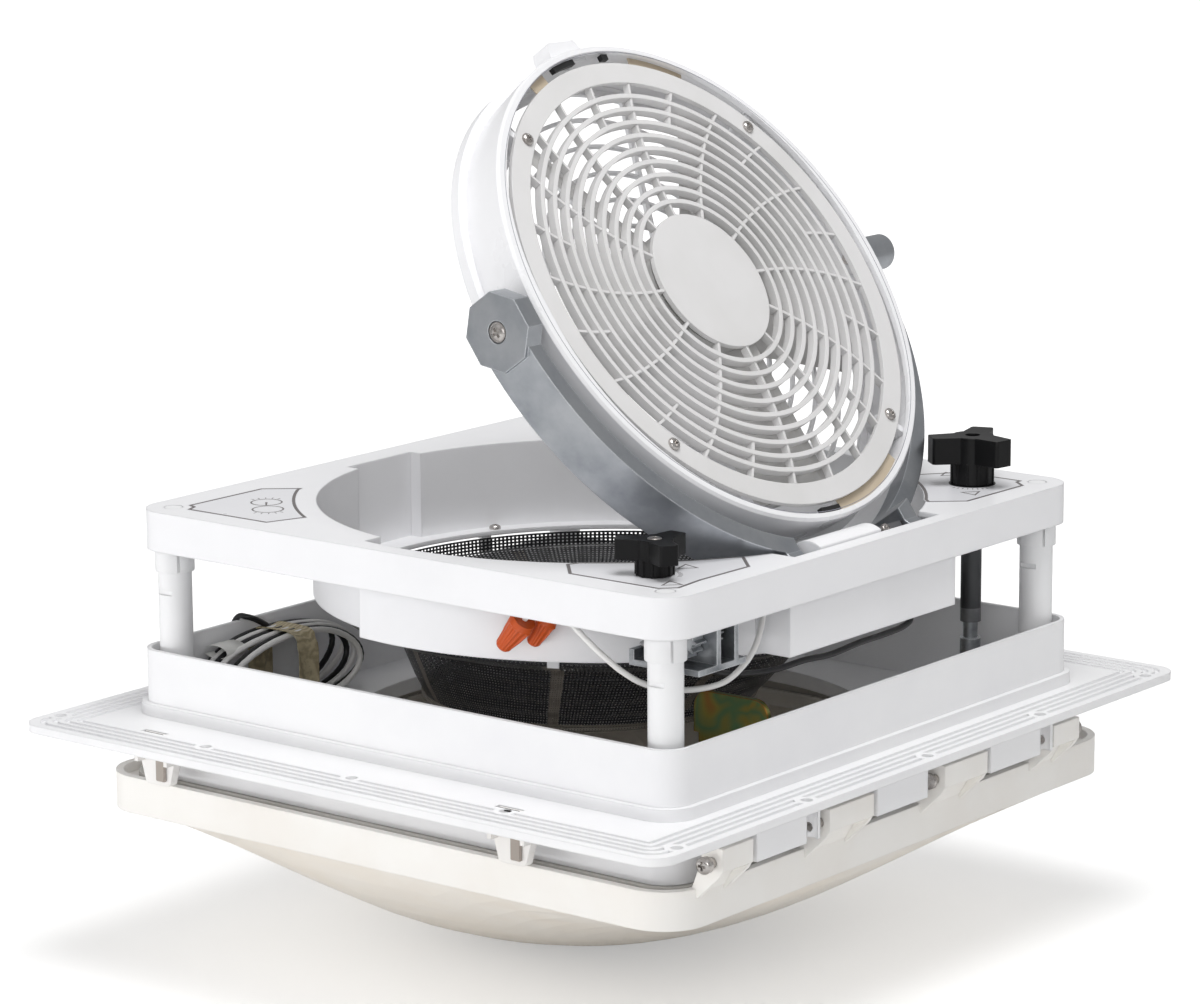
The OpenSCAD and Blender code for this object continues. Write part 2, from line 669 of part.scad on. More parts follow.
module fan_worm() {
  color("darkgray") translate([fan_worm_x, -knob_y, 0]) {
    translate([0, 0, lay_z - 7.5]) worm(fan_worm_r, 15, -7.5);
    translate([0, 0, lay_z - 16.4]) cylinder(r = 3.5, h = 9.1, $fn = 48);
    translate([0, 0, lay_z + 7.3]) cylinder(r = 5, h = frame_z + gap - lay_z - 7.3, $fn = 48);
    translate([0, 0, frame_z]) cylinder(r = 3, h = fan_knob_h - 2.4, $fn = 48);
  }
}

// Lid knob, telescopic shaft and worm
module lid_knob() {
  color("dimgray") translate([lid_knob_x, knob_y, frame_z + gap]) rotate(20)
    lobe_knob(lid_knob_w, lid_knob_h - gap, 11, 14);
}

tele_join = 14;
module tele_shaft() {
  color("gray") translate([lid_knob_x, knob_y, 0]) {
    translate([0, 0, tele_join + 20]) difference() {
      cylinder(d = tele_d, h = frame_z + gap - tele_join - 20, $fn = 64);
      translate([0, 0, -1]) cylinder(d = tele_d - 3, h = 60, $fn = 64);
    }
    translate([0, 0, frame_z]) cylinder(r = 3, h = lid_knob_h - 2.4, $fn = 48);
  }
}

module lid_worm() {
  color("silver") translate([lid_knob_x, knob_y, 0]) {
    translate([0, 0, -lift_z - 7.5]) rotate(180) worm(lid_worm_r, 15, -7.5);
    translate([0, 0, -lift_z - 17]) cylinder(r = 3.5, h = 9.7, $fn = 48);
    translate([0, 0, -lift_z + 7.3]) cylinder(d = tele_d - 3.4, h = lift_z - 7.3 + tele_join + 50, $fn = 64);
    translate([0, 0, -floor_z - floor_t - 8])
      cylinder(d = tele_d, h = tele_join + 24 + floor_t + floor_z - 5, $fn = 64);
    translate([0, 0, 0]) cylinder(d = tele_d + 3, h = 4, $fn = 64);
  }
}

// Bearing block of the lid drive under the throat floor
module lid_gearbox() {
  z1 = -floor_z - floor_t;
  z0 = -lift_z - 18;
  color("gray") difference() {
    union() {
      translate([lift_x - 17, knob_y - 14, z1 - 3]) cube([lid_knob_x - lift_x + 28, 28, 3]);
      for (s = [-1, 1]) translate([lift_x - 14, knob_y + (s > 0 ? 5 : -8), z0])
        cube([22, 3, z1 - z0]);
      translate([lift_x - 14, knob_y - 8, z0]) cube([lid_knob_x - lift_x + 24, 16, 3]);
    }
    ycyl(lift_x, -lift_z, knob_y - 9, knob_y + 9, lift_d / 2 + fit);
    translate([lid_knob_x, knob_y, z1 - 4]) cylinder(r = tele_d / 2 + gap, h = 5, $fn = 48);
    translate([lid_knob_x, knob_y, z0 - 1]) cylinder(r = 3.5 + fit, h = 5, $fn = 48);
  }
}

// Chromated bearing bracket of the lift shaft
module lift_bracket() {
  color("darkkhaki") difference() {
    union() {
      yplate(arm_y + 4.5, arm_y + 7.5) {
        translate([lift_x - 8, 22]) circle(r = 9, $fn = 64);
        translate([lift_x + 20, 22]) circle(r = 9, $fn = 64);
        translate([lift_x - 8, 9]) square([28, 22]);
        translate([lift_x - 17, 9]) square([46, 13]);
        translate([lift_x + 10, -floor_z]) square([19, 24]);
        translate([lift_x - 14, -lift_z]) square([15.9, lift_z + 12]);
        translate([lift_x, -lift_z]) circle(r = 9, $fn = 64);
      }
      translate([lift_x + 10, arm_y - 12, -floor_z]) cube([19, 19.5, 2.5]);
    }
    ycyl(lift_x, -lift_z, arm_y + 3, arm_y + 9, lift_d / 2 + fit);
    for (x = bracket_hole_x) translate([x, bracket_hole_y, -floor_z - 1])
      cylinder(d = bracket_hole_d, h = 5, $fn = 32);
  }
}

module bracket_screws() {
  color("gold") for (x = bracket_hole_x) translate([x, bracket_hole_y, 0]) {
    translate([0, 0, -floor_z - floor_t]) cylinder(d = bracket_hole_d - 0.1, h = floor_t + 2.6, $fn = 32);
    translate([0, 0, -floor_z + 2.5]) cylinder(r = 3.4, h = 2, $fn = 48);
  }
}

// Lid hinge pins, each with its head
module hinge_pins() {
  color("silver") for (p = pin_spans) {
    s = p[1] > p[0] ? 1 : -1;
    ycyl(lid_hinge_x, -lid_hinge_z, min(p), max(p), pin_d / 2);
    ycyl(lid_hinge_x, -lid_hinge_z, p[0] - (s > 0 ? 2 : 0), p[0] + (s > 0 ? 0 : 2), pin_d / 2 + 1.6);
  }
}

// Lid: rim with ledge and hinge tabs
module lid_frame() {
  color("ivory") difference() {
    union() {
      difference() {
        translate([0, 0, -lid_edge]) linear_extrude(lid_edge - lid_top) rrect(2 * lid_hx, 2 * lid_hy, lid_r);
        translate([0, 0, -lid_edge - 1]) linear_extrude(lid_edge - lid_top + 2)
          rrect(2 * lid_in, 2 * lid_in + 2 * lid_extra, lid_r - lid_wall);
      }
      difference() {
        translate([0, 0, -ledge_z - 2]) linear_extrude(2)
          rrect(2 * lid_in + 1, 2 * lid_in + 2 * lid_extra + 1, lid_r - lid_wall);
        translate([0, 0, -ledge_z - 3]) linear_extrude(4)
          rrect(skirt_w - 12, skirt_w - 12, neck_r);
      }
      for (t = lid_tabs) {
        yplate(t[0], t[1]) {
          translate([lid_hinge_x - 6.3, -lid_hinge_z - 4]) square([12.6, 11.4]);
          polygon([[lid_hinge_x - 6.3, -lid_hinge_z], [lid_hinge_x - 1, -lid_hinge_z - 4],
            [lid_hx + 0.5, -lid_top - 2], [lid_hx - 1, -lid_top - 2], [lid_hx - 1, -lid_top - 0.5],
            [lid_hx - lid_wall + 0.6, -lid_top - 0.5]]);
        }
        for (y = [t[0], t[1] - 3]) yplate(y, y + 3) polygon([[lid_hinge_x - 3, -lid_hinge_z],
          [lid_hinge_x + 6.3, -lid_hinge_z - 3], [lid_hinge_x + 4, -lid_hinge_z - 7],
          [lid_hx + 0.5, -lid_hinge_z - 19], [lid_hx - 1, -lid_hinge_z - 19], [lid_hx - 1, -lid_top - 1]]);
      }
    }
    for (t = lid_tabs) ycyl(lid_hinge_x, -lid_hinge_z, t[0] - 1, t[1] + 1, pin_d / 2 + fit);
  }
}

// Double-curved dome as a thin shell
dome_n = 44;
dome_m = 10;
function outline(a, hx, hy, r) = let (c = cos(a), s = sin(a),
  k = min(hx / max(abs(c), 0.001), hy / max(abs(s), 0.001)),
  x = abs(k * c), y = abs(k * s), dx = x - (hx - r), dy = y - (hy - r))
  (dx > 0 && dy > 0) ? let (q = arc_hit(abs(c), abs(s), hx - r, hy - r, r))
    [sign(c) * q * abs(c), sign(s) * q * abs(s)]
    : [k * c, k * s];
function arc_hit(c, s, cx, cy, r) = let (b = c * cx + s * cy) b + sqrt(b * b - cx * cx - cy * cy + r * r);
function dome_ring(j, hx, hy, r, h, z0) = [for (k = [0:dome_n - 1])
  let (f = j / dome_m, o = outline(360 * k / dome_n, hx, hy, r), x = f * o[0], y = f * o[1])
  [x, y, z0 - (j == dome_m ? 0 : h * swell(x + dome_lean, hx + sign(x + dome_lean) * dome_lean)
    * swell(y, hy))]];
function swell(t, half) = 1 - t * t / (half * half);
function dome_pts(hx, hy, r, h, z0) = concat([[0, 0, z0 - h * swell(dome_lean, hx + dome_lean)]],
  [for (j = [1:dome_m], p = dome_ring(j, hx, hy, r, h, z0)) p]);
function dome_faces(o) = concat(
  [for (k = [0:dome_n - 1]) [o, o + 1 + k, o + 1 + (k + 1) % dome_n]],
  [for (j = [0:dome_m - 2], k = [0:dome_n - 1], f = quad(o + 1 + j * dome_n + k,
    o + 1 + (j + 1) * dome_n + k, o + 1 + (j + 1) * dome_n + (k + 1) % dome_n,
    o + 1 + j * dome_n + (k + 1) % dome_n)) f]);
module lid_dome() {
  n = 1 + dome_m * dome_n;
  rim = 1 + (dome_m - 1) * dome_n;
  color("wheat") polyhedron(
    points = concat(dome_pts(lid_hx, lid_hy, lid_r, dome_h, -lid_edge),
      dome_pts(lid_hx - dome_t, lid_hy - dome_t, lid_r - dome_t, dome_h - dome_t, -lid_edge)),
    faces = concat([for (f = dome_faces(0)) f], [for (f = dome_faces(n)) [f[2], f[1], f[0]]],
      [for (k = [0:dome_n - 1], f = quad(rim + k, n + rim + k, n + rim + (k + 1) % dome_n,
        rim + (k + 1) % dome_n)) f]));
}

module lid_gasket() {
  color("dimgray") translate([0, 0, -ledge_z]) linear_extrude(ledge_z - skirt_z - seat) difference() {
    rrect(skirt_w + 6, skirt_w + 6, neck_r + 6);
    rrect(skirt_w - 8, skirt_w - 8, neck_r - 1);
  }
}

// Slotted track that the lift arm's roller pushes on
module lid_track() {
  a = atan(slot_k);
  color("gray") difference() {
    union() {
      yplate(track_y, track_y + track_t) {
        translate([slot_x0, slot_z0]) rotate(a) {
          circle(r = slot_w / 2 + 4, $fn = 64);
          translate([0, -slot_w / 2 - 4]) square([slot_l, slot_w + 8]);
          translate([slot_l, 0]) circle(r = slot_w / 2 + 4, $fn = 64);
        }
        translate([slot_x1, -lid_edge + 1.5]) square([lid_in - slot_x1, lid_edge - ledge_z - 4.5]);
      }
      translate([lid_in - 2.2, track_y - 14, -lid_edge + 1.5]) cube([2.2, 18, lid_edge - ledge_z - 4.5]);
    }
    yplate(track_y - 1, track_y + track_t + 1) translate([slot_x0, slot_z0]) rotate(a) {
      circle(d = slot_w, $fn = 64);
      translate([0, -slot_w / 2]) square([slot_l, slot_w]);
      translate([slot_l, 0]) circle(d = slot_w, $fn = 64);
    }
  }
}

module track_screws() {
  color("silver") for (z = [-1, 1])
    translate([lid_in - 2.2, track_y - 8, -lid_edge / 2 - ledge_z / 2 - 0.8 + z * 3])
    rotate([0, -90, 0]) cylinder(r = 2.4, h = 1.6, $fn = 48);
}

// Lift shaft with its worm wheel
module lift_shaft() {
  color("silver") {
    ycyl(lift_x, -lift_z, arm_y - 2, knob_y + 10, lift_d / 2);
    translate([lift_x, knob_y + 4, -lift_z]) rotate([90, 0, 0]) linear_extrude(8)
      rotate(180 / wheel_teeth) wheel2d();
  }
}

module lift_arm() {
  color("darkgray") difference() {
    translate([lift_x, 0, -lift_z]) rotate([0, -lift_start, 0]) yplate(arm_y, arm_y + arm_t) {
      circle(r = 10, $fn = 64);
      translate([-lift_len, 0]) circle(r = 7, $fn = 64);
      polygon([[-lift_len, -6.6], [1, -9.4], [1, 9.4], [-lift_len, 6.6]]);
    }
    ycyl(lift_x, -lift_z, arm_y - 1, arm_y + arm_t + 1, lift_d / 2 + 0.02);
    translate([lift_x, 0, -lift_z]) rotate([0, -lift_start, 0])
      ycyl(-lift_len, 0, arm_y - 1, arm_y + arm_t + 1, 2.52);
  }
}

module lift_roller() {
  color("whitesmoke") translate([lift_x, 0, -lift_z]) rotate([0, -lift_start, 0]) {
    ycyl(-lift_len, 0, arm_y, arm_y + arm_t + 1.2, 2.5);
    ycyl(-lift_len, 0, track_y - 0.6, arm_y, roller_d / 2);
    ycyl(-lift_len, 0, track_y - 2.2, track_y - 0.6, roller_d / 2 + 2.2);
  }
}

// Die-cast yoke: half ring, pivot bosses and two hinge lugs
module yoke() {
  color("lightsteelblue") at_yoke() difference() {
    union() {
      difference() {
        union() {
          intersection() {
            translate([0, 0, -yoke_b]) cylinder(r = yoke_ro, h = yoke_b + yoke_f, $fn = 192);
            translate([0, -yoke_ro, -yoke_b]) cube([yoke_ro + 1, 2 * yoke_ro, yoke_b + yoke_f]);
          }
          translate([0, -(boss_y0 + boss_y1) / 2, 0]) rotate([90, 0, 0])
            rotate(22.5) cylinder(d = boss_w / cos(22.5), h = boss_y1 - boss_y0, center = true, $fn = 8);
          for (s = [0, 1]) mirror([0, s, 0]) yplate(lug_y0, lug_y1) {
            translate([hinge_x, arm_b]) circle(r = hinge_d / 2 + 2.8, $fn = 64);
            translate([yoke_ri - 14, -yoke_b]) square([20, yoke_b + yoke_f]);
            polygon([[yoke_ri, -yoke_b + 3], [hinge_x + 3, arm_b - 6], [hinge_x, arm_b + 6.8],
              [yoke_ri, arm_b + 1.5]]);
          }
        }
        translate([0, 0, -yoke_b - 10]) cylinder(r = yoke_ri, h = yoke_b + yoke_f + 30, $fn = 192);
      }
      ycyl(0, 0, -yoke_ri - 3, -boss_y0, 11);
      ycyl(0, 0, boss_y0, boss_y1, 9.5);
    }
    translate([yoke_ri - 30, -lug_y0, -yoke_b + 6.1]) cube([60, 2 * lug_y0, 60]);
    difference() {
      translate([-1, lug_y1, yoke_f - yoke_drop]) cube([yoke_ro + 10, yoke_ro, 60]);
      ycyl(0, 0, lug_y1 - 1, 2 * yoke_ro, 9.5);
    }
    ycyl(hinge_x, arm_b, -200, 200, hinge_d / 2 + 0.02);
    ycyl(0, 0, -200, 200, pivot_d / 2 + 0.02);
    for (s = [0, 1]) mirror([0, s, 0]) ycyl(0, 0, boss_y1 - 3, boss_y1 + 1, 5.6);
  }
}

// Hinge shaft with the small gear of the spur pair
module hinge_shaft() {
  color("silver") translate([hinge_x, 0, hinge_z]) rotate([0, swing, 0]) {
    ycyl(0, 0, -knob_y + 2, house_y1 - wall + 2, hinge_d / 2);
    translate([0, spur_y + 4, 0]) rotate([90, 0, 0]) linear_extrude(8)
      rotate(swing + mesh_a + 180 + 180 / hinge_teeth) gear2d(hinge_teeth, spur_m * hinge_teeth / 2,
        spur_m * (hinge_teeth / 2 + 0.8), hinge_d / 2 + 1.1, spur_m * 1.9, spur_m * 0.72);
  }
}

// Cover plate that turns with the shaft, between the barrel and the far lug
module foot_plate() {
  color("dimgray") at_yoke() difference() {
    union() {
      translate([yoke_ri - 1, 13, arm_b - 3.9]) cube([hinge_x + 3.5 - yoke_ri, 30.5, 3.5]);
      yplate(15, 42) translate([hinge_x, arm_b]) circle(r = hinge_d / 2 + 2, $fn = 64);
    }
    ycyl(hinge_x, arm_b, 12, 46, hinge_d / 2 + 0.02);
    translate([hinge_x - 9, 28.5, arm_b - 5]) cylinder(r = 1.6, h = 8, $fn = 32);
  }
}

module foot_screw() {
  color("silver") at_yoke() translate([hinge_x - 9, 28.5, arm_b - 3.9]) {
    cylinder(r = 1.55, h = 3.5, $fn = 32);
    translate([0, 0, 3.5]) cylinder(r = 3, h = 1.4, $fn = 48);
  }
}

// Shoulder screws that the fan head tilts on
module pivot_screws() {
  color("silver") at_yoke() for (s = [0, 1]) mirror([0, s, 0]) {
    ycyl(0, 0, head_r - 9.5, boss_y1 - 3, pivot_d / 2);
    ycyl(0, 0, boss_y1 - 3, boss_y1 - 0.3, 5);
  }
}

// Fan casing: tapered drum with a bezel
module fan_casing() {
  r1 = head_r - casing_taper;
  color("ghostwhite") at_yoke() difference() {
    union() {
      rotate_extrude($fn = 192) polygon([[r1 - casing_t, cover_z], [r1, cover_z],
        [head_r, rim_z - 1.5], [head_r - 1.2, rim_z], [bezel_r, rim_z], [bezel_r, rim_z - 3],
        [head_r - casing_t - 0.4, rim_z - 3]]);
      for (s = [0, 1]) mirror([0, s, 0]) ycyl(0, 0, head_r - 9.4, head_r + seat, 9);
      for (a = grille_screw_a) rotate(a) translate([grille_screw_r, 0, grille_z - grille_h - 12])
        cylinder(r = 4, h = 12, $fn = 48);
      for (a = grille_screw_a) rotate(a) translate([grille_screw_r, -2, grille_z - grille_h - 12])
        cube([r1 - grille_r + 6.8, 4, 12]);
      translate([-head_r + 1, -11, -6]) linear_extrude(12) intersection() {
        circle(r = 13, $fn = 64);
        translate([-8.3, -13]) square([12, 26]);
      }
    }
    ycyl(0, 0, -200, 200, pivot_d / 2 + fit);
    for (s = [-1, 1]) translate([s * crescent, 0, rim_z - 4]) cylinder(r = bezel_r, h = 5, $fn = 192);
    for (a = grille_screw_a) rotate(a) translate([grille_screw_r, 0, grille_z - 14])
      cylinder(r = 1.62, h = 15, $fn = 32);
    translate([-head_r - 5, -18.5, -3.5]) cube([30, 15, 7]);
  }
}

module pivot_bushes() {
  color("dimgray") at_yoke() for (s = [0, 1]) mirror([0, s, 0]) difference() {
    ycyl(0, 0, head_r + seat, boss_y0 - seat, 8);
    ycyl(0, 0, head_r, boss_y0, pivot_d / 2 + fit);
  }
}

// Rear cover: lip, guard rings and struts that carry the motor
module fan_rear_cover() {
  r1 = head_r - casing_taper;
  z0 = cover_z - cover_h;
  color("ghostwhite") at_yoke() {
    rotate_extrude($fn = 144) polygon([[r1 - 7, z0], [head_r + 2.1, z0], [head_r + 2.1, cover_z],
      [r1 - casing_t - 0.5, cover_z], [r1 - casing_t - 0.5, z0 + 2.4], [r1 - 7, z0 + 2.4]]);
    translate([0, 0, z0]) cylinder(r = motor_r + 7, h = 2.4, $fn = 96);
    for (i = [1:5]) rotate_extrude($fn = 128)
      translate([motor_r + 7 + i * (r1 - 14 - motor_r) / 6, z0]) square([1.8, 2.2]);
    for (a = [0:7]) rotate(45 * a + 22.5) translate([motor_r + 5, -1.4, z0])
      cube([r1 - 10 - motor_r, 2.8, 2.4]);
  }
}

// Front grille: plain disc, rings, curved long spokes and short outer ones
function lag(r) = spoke_lag * pow((r - disc_r) / (grille_r - grille_edge - disc_r), 1.5);
module front_grille() {
  r1 = grille_r - grille_edge;
  step = (r1 - disc_r) / (ring_n + 1);
  color("gainsboro") at_yoke() difference() {
    translate([0, 0, grille_z - grille_h]) union() {
      cylinder(r = disc_r, h = grille_h, $fn = 96);
      ring(grille_r, r1, grille_h);
      translate([0, 0, grille_h - bar_h]) for (i = [1:ring_n])
        ring(disc_r + i * step + bar_w / 2, disc_r + i * step - bar_w / 2, bar_h);
      translate([0, 0, grille_h - bar_h]) linear_extrude(bar_h - 0.6) {
        for (k = [0:spoke_n - 1]) rotate(90 - 360 * k / spoke_n) spoke(disc_r - 1, r1 + 1);
        for (k = [0:spoke_n - 1]) rotate(90 - 360 * (k + 0.5) / spoke_n) spoke(r1 - 3.05 * step, r1 + 1);
      }
    }
    for (a = grille_screw_a) rotate(a) translate([grille_screw_r, 0, grille_z - 8])
      cylinder(r = 1.62, h = 10, $fn = 32);
  }
}

module ring(ro, ri, h) {
  difference() {
    cylinder(r = ro, h = h, $fn = 144);
    translate([0, 0, -1]) cylinder(r = ri, h = h + 2, $fn = 144);
  }
}

// Bars are wider than the spokes and reach back into the casing
module spoke(ra, rb) {
  m = 6;
  rr = [for (i = [0:m]) max(ra + (rb - ra) * i / m, disc_r)];
  polygon(concat([for (i = [0:m]) (rr[i]) * [cos(lag(rr[i])), -sin(lag(rr[i]))] + [0, 0.8]],
    [for (i = [m:-1:0]) (rr[i]) * [cos(lag(rr[i])), -sin(lag(rr[i]))] - [0, 0.8]]));
}

module grille_screws() {
  color("silver") at_yoke() for (a = grille_screw_a) rotate(a) translate([grille_screw_r, 0, 0]) {
    translate([0, 0, grille_z - 13]) cylinder(r = 1.6, h = 13, $fn = 32);
    translate([0, 0, grille_z]) cylinder(r = 3.2, h = 1.3, $fn = 48);
  }
}

module fan_motor() {
  z0 = cover_z - cover_h + 2.4;
  color("dimgray") at_yoke() difference() {
    union() {
      translate([0, 0, z0]) cylinder(r = motor_r, h = 15, $fn = 96);
      translate([0, 0, z0 + 15]) cylinder(r = 8, h = 2, $fn = 64);
    }
    translate([0, 0, z0 + 3]) cylinder(r = 3 + fit, h = 20, $fn = 48);
  }
}

// Hub, shaft and cambered blades
module fan_blades() {
  z0 = cover_z - cover_h + 2.4;
  z1 = grille_z - grille_h - 3;
  color("lightcyan") at_yoke() {
    translate([0, 0, z0 + 3.4]) cylinder(r = 3, h = z1 - z0 - 4, $fn = 48);
    difference() {
      translate([0, 0, z0 + 3]) cylinder(r = hub_r, h = z1 - z0 - 3, $fn = 96);
      translate([0, 0, z0]) cylinder(r = hub_r - 2.4, h = z1 - z0 - 2.4, $fn = 96);
    }
    for (k = [0:blade_n - 1]) rotate(360 * k / blade_n) intersection() {
      rotate([blade_pitch, 0, 0]) translate([hub_r - 1, 0, -62]) rotate([0, 90, 0]) difference() {
        cylinder(r = 62, h = blade_r, $fn = 192);
        translate([0, 0, -1]) cylinder(r = 60.4, h = blade_r + 2, $fn = 192);
        translate([-5, -70, -1]) cube([80, 140, blade_r + 2]);
      }
      translate([0, 0, z0 + 3.2]) linear_extrude(z1 - z0 - 4) intersection() {
        circle(r = blade_r, $fn = 144);
        union() {
          translate([hub_r - 1.2, -20]) square([30, 36]);
          polygon([[hub_r + 20, -24], [blade_r + 4, -33], [blade_r + 4, 33], [hub_r + 20, 22]]);
        }
      }
    }
  }
}

// Wire coils lying in the neck, two strands wound side by side, and their tape
coil_y = -82;
coil_x0 = -in_w + seat + lead_d / 2 + 1;
coil_z = -floor_z + 1.2 + lead_d / 2 + coil_b;
coil_p = 2 * lead_d + 2.4;
function coil_pt(a, x0) = [x0 + coil_p * a / 360, coil_y - coil_a * cos(a), coil_z + coil_b * sin(a)];
function coil_path(x0) = let (n = 24 * coil_n)
  concat([coil_pt(0, x0) + [0, 0, -lead_d]], [for (i = [0:n]) coil_pt(360 * i / 24, x0)],
    [coil_pt(360 * coil_n, x0) + [0, 0, lead_d]]);
module black_coil() {
  color("dimgray") sweep(coil_path(coil_x0), [1, 0, 0], lead_d / 2, 6);
}

module white_coil() {
  color("white") sweep(coil_path(coil_x0 + coil_p / 2), [1, 0, 0], lead_d / 2, 6);
}
coil_gap = min([for (i = [0:23], j = [-2:2]) norm(coil_pt(360 * i / 24, 0)
  - coil_pt(360 * i / 24 + 360 + 15 * j, 0))]) - lead_d;
echo(coil_gap_to_itself = coil_gap);

module coil_tape() {
  w = coil_p * (coil_n + 0.5) + lead_d + 1.4;
  h = 2 * coil_b + lead_d + 1.2;
  color("tan") translate([coil_x0 - lead_d / 2 - 0.7, coil_y + 6, -floor_z + 0.3])
    rotate([90, 0, 0]) linear_extrude(17) difference() {
      square([w, h + 0.6]);
      translate([0.5, 0.5]) square([w - 1, h - 0.4]);
    }
}

// Wire nuts on the lead ends
module wire_nuts() {
  color("orange") {
    translate(white_pts[0]) rotate([0, 222, 0]) rotate_extrude($fn = 64)
      polygon([[0, 0.3], [6, 0.3], [6.4, 4], [4.4, 20], [3, 21.5], [0, 21.5]]);
    translate(stub_pts[0]) rotate([0, 214, 0]) rotate_extrude($fn = 64)
      polygon([[0, 0.3], [5, 0.3], [5.4, 4], [3.8, 17], [2.6, 18.5], [0, 18.5]]);
  }
}

module white_lead() {
  color("white") sweep(white_pts, [1, 0, 0], lead_d / 2, 8);
}

module black_lead() {
  color("dimgray") {
    sweep(black_pts, [1, 0, 0], lead_d / 2, 8);
    sweep(stub_pts, [0, 1, 0], lead_d / 2, 8);
  }
}

vent_base();
edge_clips();
corner_posts();
post_screws();
trim_frame();
post_sleeves();
ledge_screws();
bug_screen();
screen_straps();
hinge_housing();
hinge_barrel();
fan_gearbox();
lid_gearbox();
lift_bracket();
bracket_screws();
hinge_pins();
black_coil();
white_coil();
coil_tape();
wire_nuts();
white_lead();
black_lead();
lay_shaft();
fan_knob();
fan_knob_screw();
fan_worm();
lid_knob();
tele_shaft();
lid_worm();
lid_frame();
lid_dome();
lid_gasket();
lid_track();
track_screws();
lift_shaft();
lift_arm();
lift_roller();
yoke();
hinge_shaft();
foot_plate();
foot_screw();
pivot_screws();
fan_casing();
fan_rear_cover();
front_grille();
grille_screws();
fan_motor();
pivot_bushes();
fan_blades();
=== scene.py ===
import itertools
import math
import random

import bmesh
import bpy
from mathutils import Matrix, Vector


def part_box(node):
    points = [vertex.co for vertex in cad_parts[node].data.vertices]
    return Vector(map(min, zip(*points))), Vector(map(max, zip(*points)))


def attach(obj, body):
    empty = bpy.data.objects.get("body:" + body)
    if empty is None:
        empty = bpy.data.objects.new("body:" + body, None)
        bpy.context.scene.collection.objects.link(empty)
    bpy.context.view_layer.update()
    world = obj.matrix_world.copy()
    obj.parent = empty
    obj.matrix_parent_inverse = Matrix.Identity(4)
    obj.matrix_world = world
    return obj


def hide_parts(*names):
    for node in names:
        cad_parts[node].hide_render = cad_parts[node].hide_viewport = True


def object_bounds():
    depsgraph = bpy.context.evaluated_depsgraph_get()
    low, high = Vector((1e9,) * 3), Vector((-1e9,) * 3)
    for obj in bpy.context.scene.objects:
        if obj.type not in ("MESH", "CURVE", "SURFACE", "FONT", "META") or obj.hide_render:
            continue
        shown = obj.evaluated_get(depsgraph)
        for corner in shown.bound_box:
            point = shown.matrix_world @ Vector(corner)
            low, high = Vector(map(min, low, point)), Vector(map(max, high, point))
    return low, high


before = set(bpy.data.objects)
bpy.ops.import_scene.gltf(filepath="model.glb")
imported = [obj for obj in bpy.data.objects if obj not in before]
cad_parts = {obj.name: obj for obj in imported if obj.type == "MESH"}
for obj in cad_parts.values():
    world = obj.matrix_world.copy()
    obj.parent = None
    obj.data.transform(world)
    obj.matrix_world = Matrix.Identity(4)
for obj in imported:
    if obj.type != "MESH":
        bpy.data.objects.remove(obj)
cad_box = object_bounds()
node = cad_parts
scene = bpy.context.scene

# Camera: long lens at the photograph's viewing angle, a little above the
# trim frame, turned to the clipped edge and the hinge side. The picture is
# 1200 wide, and the lens axis goes through its middle.
eye = Vector((1.40583, -1.77240, 0.57799))
look_right = Vector((0.78282054, 0.62221856, -0.00600501))
look_up = Vector((-0.12306762, 0.16427829, 0.9787068))
focal_px, image_wide, sensor_mm = 4440.14, 1200, 36.0
view_reach = 50


def placed(name, data):
    """Object with this data, linked to the scene."""
    made = bpy.data.objects.new(name, data)
    scene.collection.objects.link(made)
    return made


camera_data = bpy.data.cameras.new("studio_camera")
camera_data.sensor_width = sensor_mm
camera_data.lens = focal_px * sensor_mm / image_wide
camera_data.clip_end = view_reach
camera = placed("studio_camera", camera_data)
turn = Matrix((look_right, look_up, look_right.cross(look_up))).transposed()
camera.matrix_world = Matrix.Translation(eye) @ turn.to_4x4()
scene.camera = camera
scene.view_settings.view_transform = "Standard"

# Studio: a pale paper floor just under the dome and a white backdrop, with
# soft boxes on the clipped side, low before the dome, beside the camera for
# the inner walls, and overhead. To the camera the floor brightens far away.
floor_gap = 0.0002
floor_half = 14.0
lit_point = Vector((0.0, 0.0, -0.06))
soft_boxes = (("soft_box_left", (-0.7, -2.0, 1.5), 1.6, 1.6, 2),
              ("soft_box_low", (-0.6, -1.0, -0.09), 1.8, 0.08, 4.5),
              ("soft_box_front", (1.2, -1.9, 0.7), 0.9, 0.9, 7),
              ("soft_box_top", (0.5, -0.3, 2.2), 1.2, 1.2, 32))


def linear(code):
    """Linear colour with full alpha from a six-digit sRGB code."""
    parts = [int(code[i:i + 2], 16) / 255 for i in (0, 2, 4)]
    return (*(c / 12.92 if c < 0.04045 else ((c + 0.055) / 1.055) ** 2.4 for c in parts), 1)


def node_tools(tree):
    """Adder and linker for a node tree. The adder takes the kind of node, its
    operation, data type or group, and the values of its sockets by name."""
    def add(kind, option=None, **sockets):
        made = tree.nodes.new(kind if kind.startswith("Node") else "ShaderNode" + kind)
        if option:
            setattr(made, {"Mix": "data_type", "Group": "node_tree"}.get(kind, "operation"), option)
        for key, value in sockets.items():
            made.inputs[key.replace("_", " ")].default_value = value
        return made
    return add, tree.links.new


def new_material(name):
    """Empty material; returns it with its output, an adder and a linker."""
    material = bpy.data.materials.new(name)
    material.use_nodes = True
    material.node_tree.nodes.clear()
    add, link = node_tools(material.node_tree)
    return material, add("OutputMaterial"), add, link


